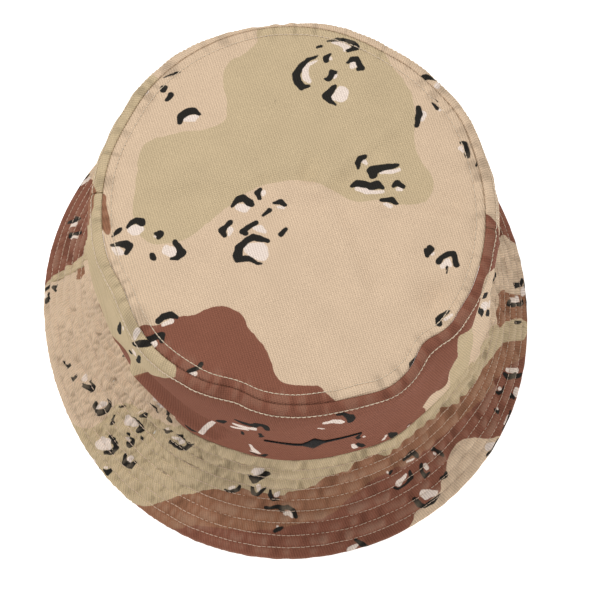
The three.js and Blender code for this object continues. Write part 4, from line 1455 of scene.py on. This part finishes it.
def add_stitching():
    """The brim's rows, and one row on each side of the top seam, none of them quite true."""
    theta = angle(np.linspace(0, 360, 1600, endpoint=False))
    for i, row in enumerate(row_places()):
        wander = 0.28 * round_noise(theta, 0.5, 47, 70 + i)
        wander = wander + 0.14 * round_noise(theta, 0.5, 160, 80 + i)
        path, up = skin_path(brim_skin, theta, row + wander, BRIM.point)
        node = f"brim_stitch_row_{i + 1}"
        shape = {"thickness": 0.38, "rise": 0.24, "sink": 0.08}
        add_stitch_row(f"brim_row_{i + 1}_stitches", node, path, up, SHADED_BRIM_THREAD, **shape)

    wander = 0.8 * round_noise(theta, 0.5, 19, 91) + 0.3 * round_noise(theta, 0.5, 60, 92)
    over = SIDE.length - LOWER_STITCH_INSET + wander
    path, up = skin_path(side_skin, theta, over, SIDE.point)
    add_stitch_row("crown_lower_stitches", "crown_stitch_lower", path, up)

    wander = 0.4 * round_noise(theta, 0.5, 19, 93) + 0.2 * round_noise(theta, 0.5, 60, 94)
    path = top_skin(theta, 1 - (UPPER_STITCH_INSET + wander) / CROWN_RADIUS)
    up = np.broadcast_to([0.0, 0.0, 1.0], path.shape)
    add_stitch_row("crown_upper_stitches", "crown_stitch_upper", path, up)


# ---------------------------------------------------------------- floor, light and camera

def add_stage():
    bpy.ops.mesh.primitive_plane_add(size=6, location=(0, 0, -0.0005))
    floor = bpy.context.object
    floor.name = "studio_floor"
    material, _, shader = new_material("studio_floor")
    shader.inputs["Base Color"].default_value = (0.93, 0.93, 0.93, 1)
    shader.inputs["Roughness"].default_value = 0.9
    shader.inputs["Emission Color"].default_value = (1, 1, 1, 1)
    shader.inputs["Emission Strength"].default_value = 0.7
    floor.data.materials.append(material)

    world = bpy.data.worlds.new("studio")
    world.use_nodes = True
    world.node_tree.nodes["Background"].inputs["Color"].default_value = (1, 1, 1, 1)
    world.node_tree.nodes["Background"].inputs["Strength"].default_value = 0.34
    bpy.context.scene.world = world

    for name, place, size, power in (
        ("key", (-0.6, 0.4, 1.4), 0.3, 12.0),
        ("fill", (0.7, -0.5, 1.4), 1.0, 8.0),
    ):
        light = bpy.data.lights.new(name, "AREA")
        light.size = size
        light.energy = power
        lamp = bpy.data.objects.new(name, light)
        lamp.location = place
        aim = Vector((0, 0, 0.08)) - Vector(place)
        lamp.rotation_euler = aim.to_track_quat("-Z", "Y").to_euler()
        bpy.context.scene.collection.objects.link(lamp)


def add_camera():
    """The camera looks down on the hat from the front, turned and tipped a little."""
    elevation, yaw, roll = math.radians(68), math.radians(5.8), math.radians(4.1)
    distance, shift_x, shift_y = 1270, -6.0, -4.3
    right = Vector((math.cos(yaw), -math.sin(yaw), 0))
    back = Vector(
        (-math.cos(elevation) * math.sin(yaw), -math.cos(elevation) * math.cos(yaw), math.sin(elevation))
    )
    up = back.cross(right)
    place = (right * -shift_x + up * -shift_y + back * distance) * MM
    tipped_right = right * math.cos(roll) + up * math.sin(roll)
    tipped_up = up * math.cos(roll) - right * math.sin(roll)
    data = bpy.data.cameras.new("camera")
    data.lens = 156.4
    data.sensor_width = 36
    data.clip_end = 20
    camera = bpy.data.objects.new("camera", data)
    turned = Matrix((tipped_right, tipped_up, back)).transposed().to_4x4()
    camera.matrix_world = Matrix.Translation(place) @ turned
    bpy.context.scene.collection.objects.link(camera)
    bpy.context.scene.camera = camera


add_camera()
add_stage()
add_top_panel()
add_side_panels()
add_brim()
add_sweatband()
add_seam_tapes()
add_labels()
add_ornament()
add_stitching()
bpy.context.scene.view_settings.view_transform = "Standard"
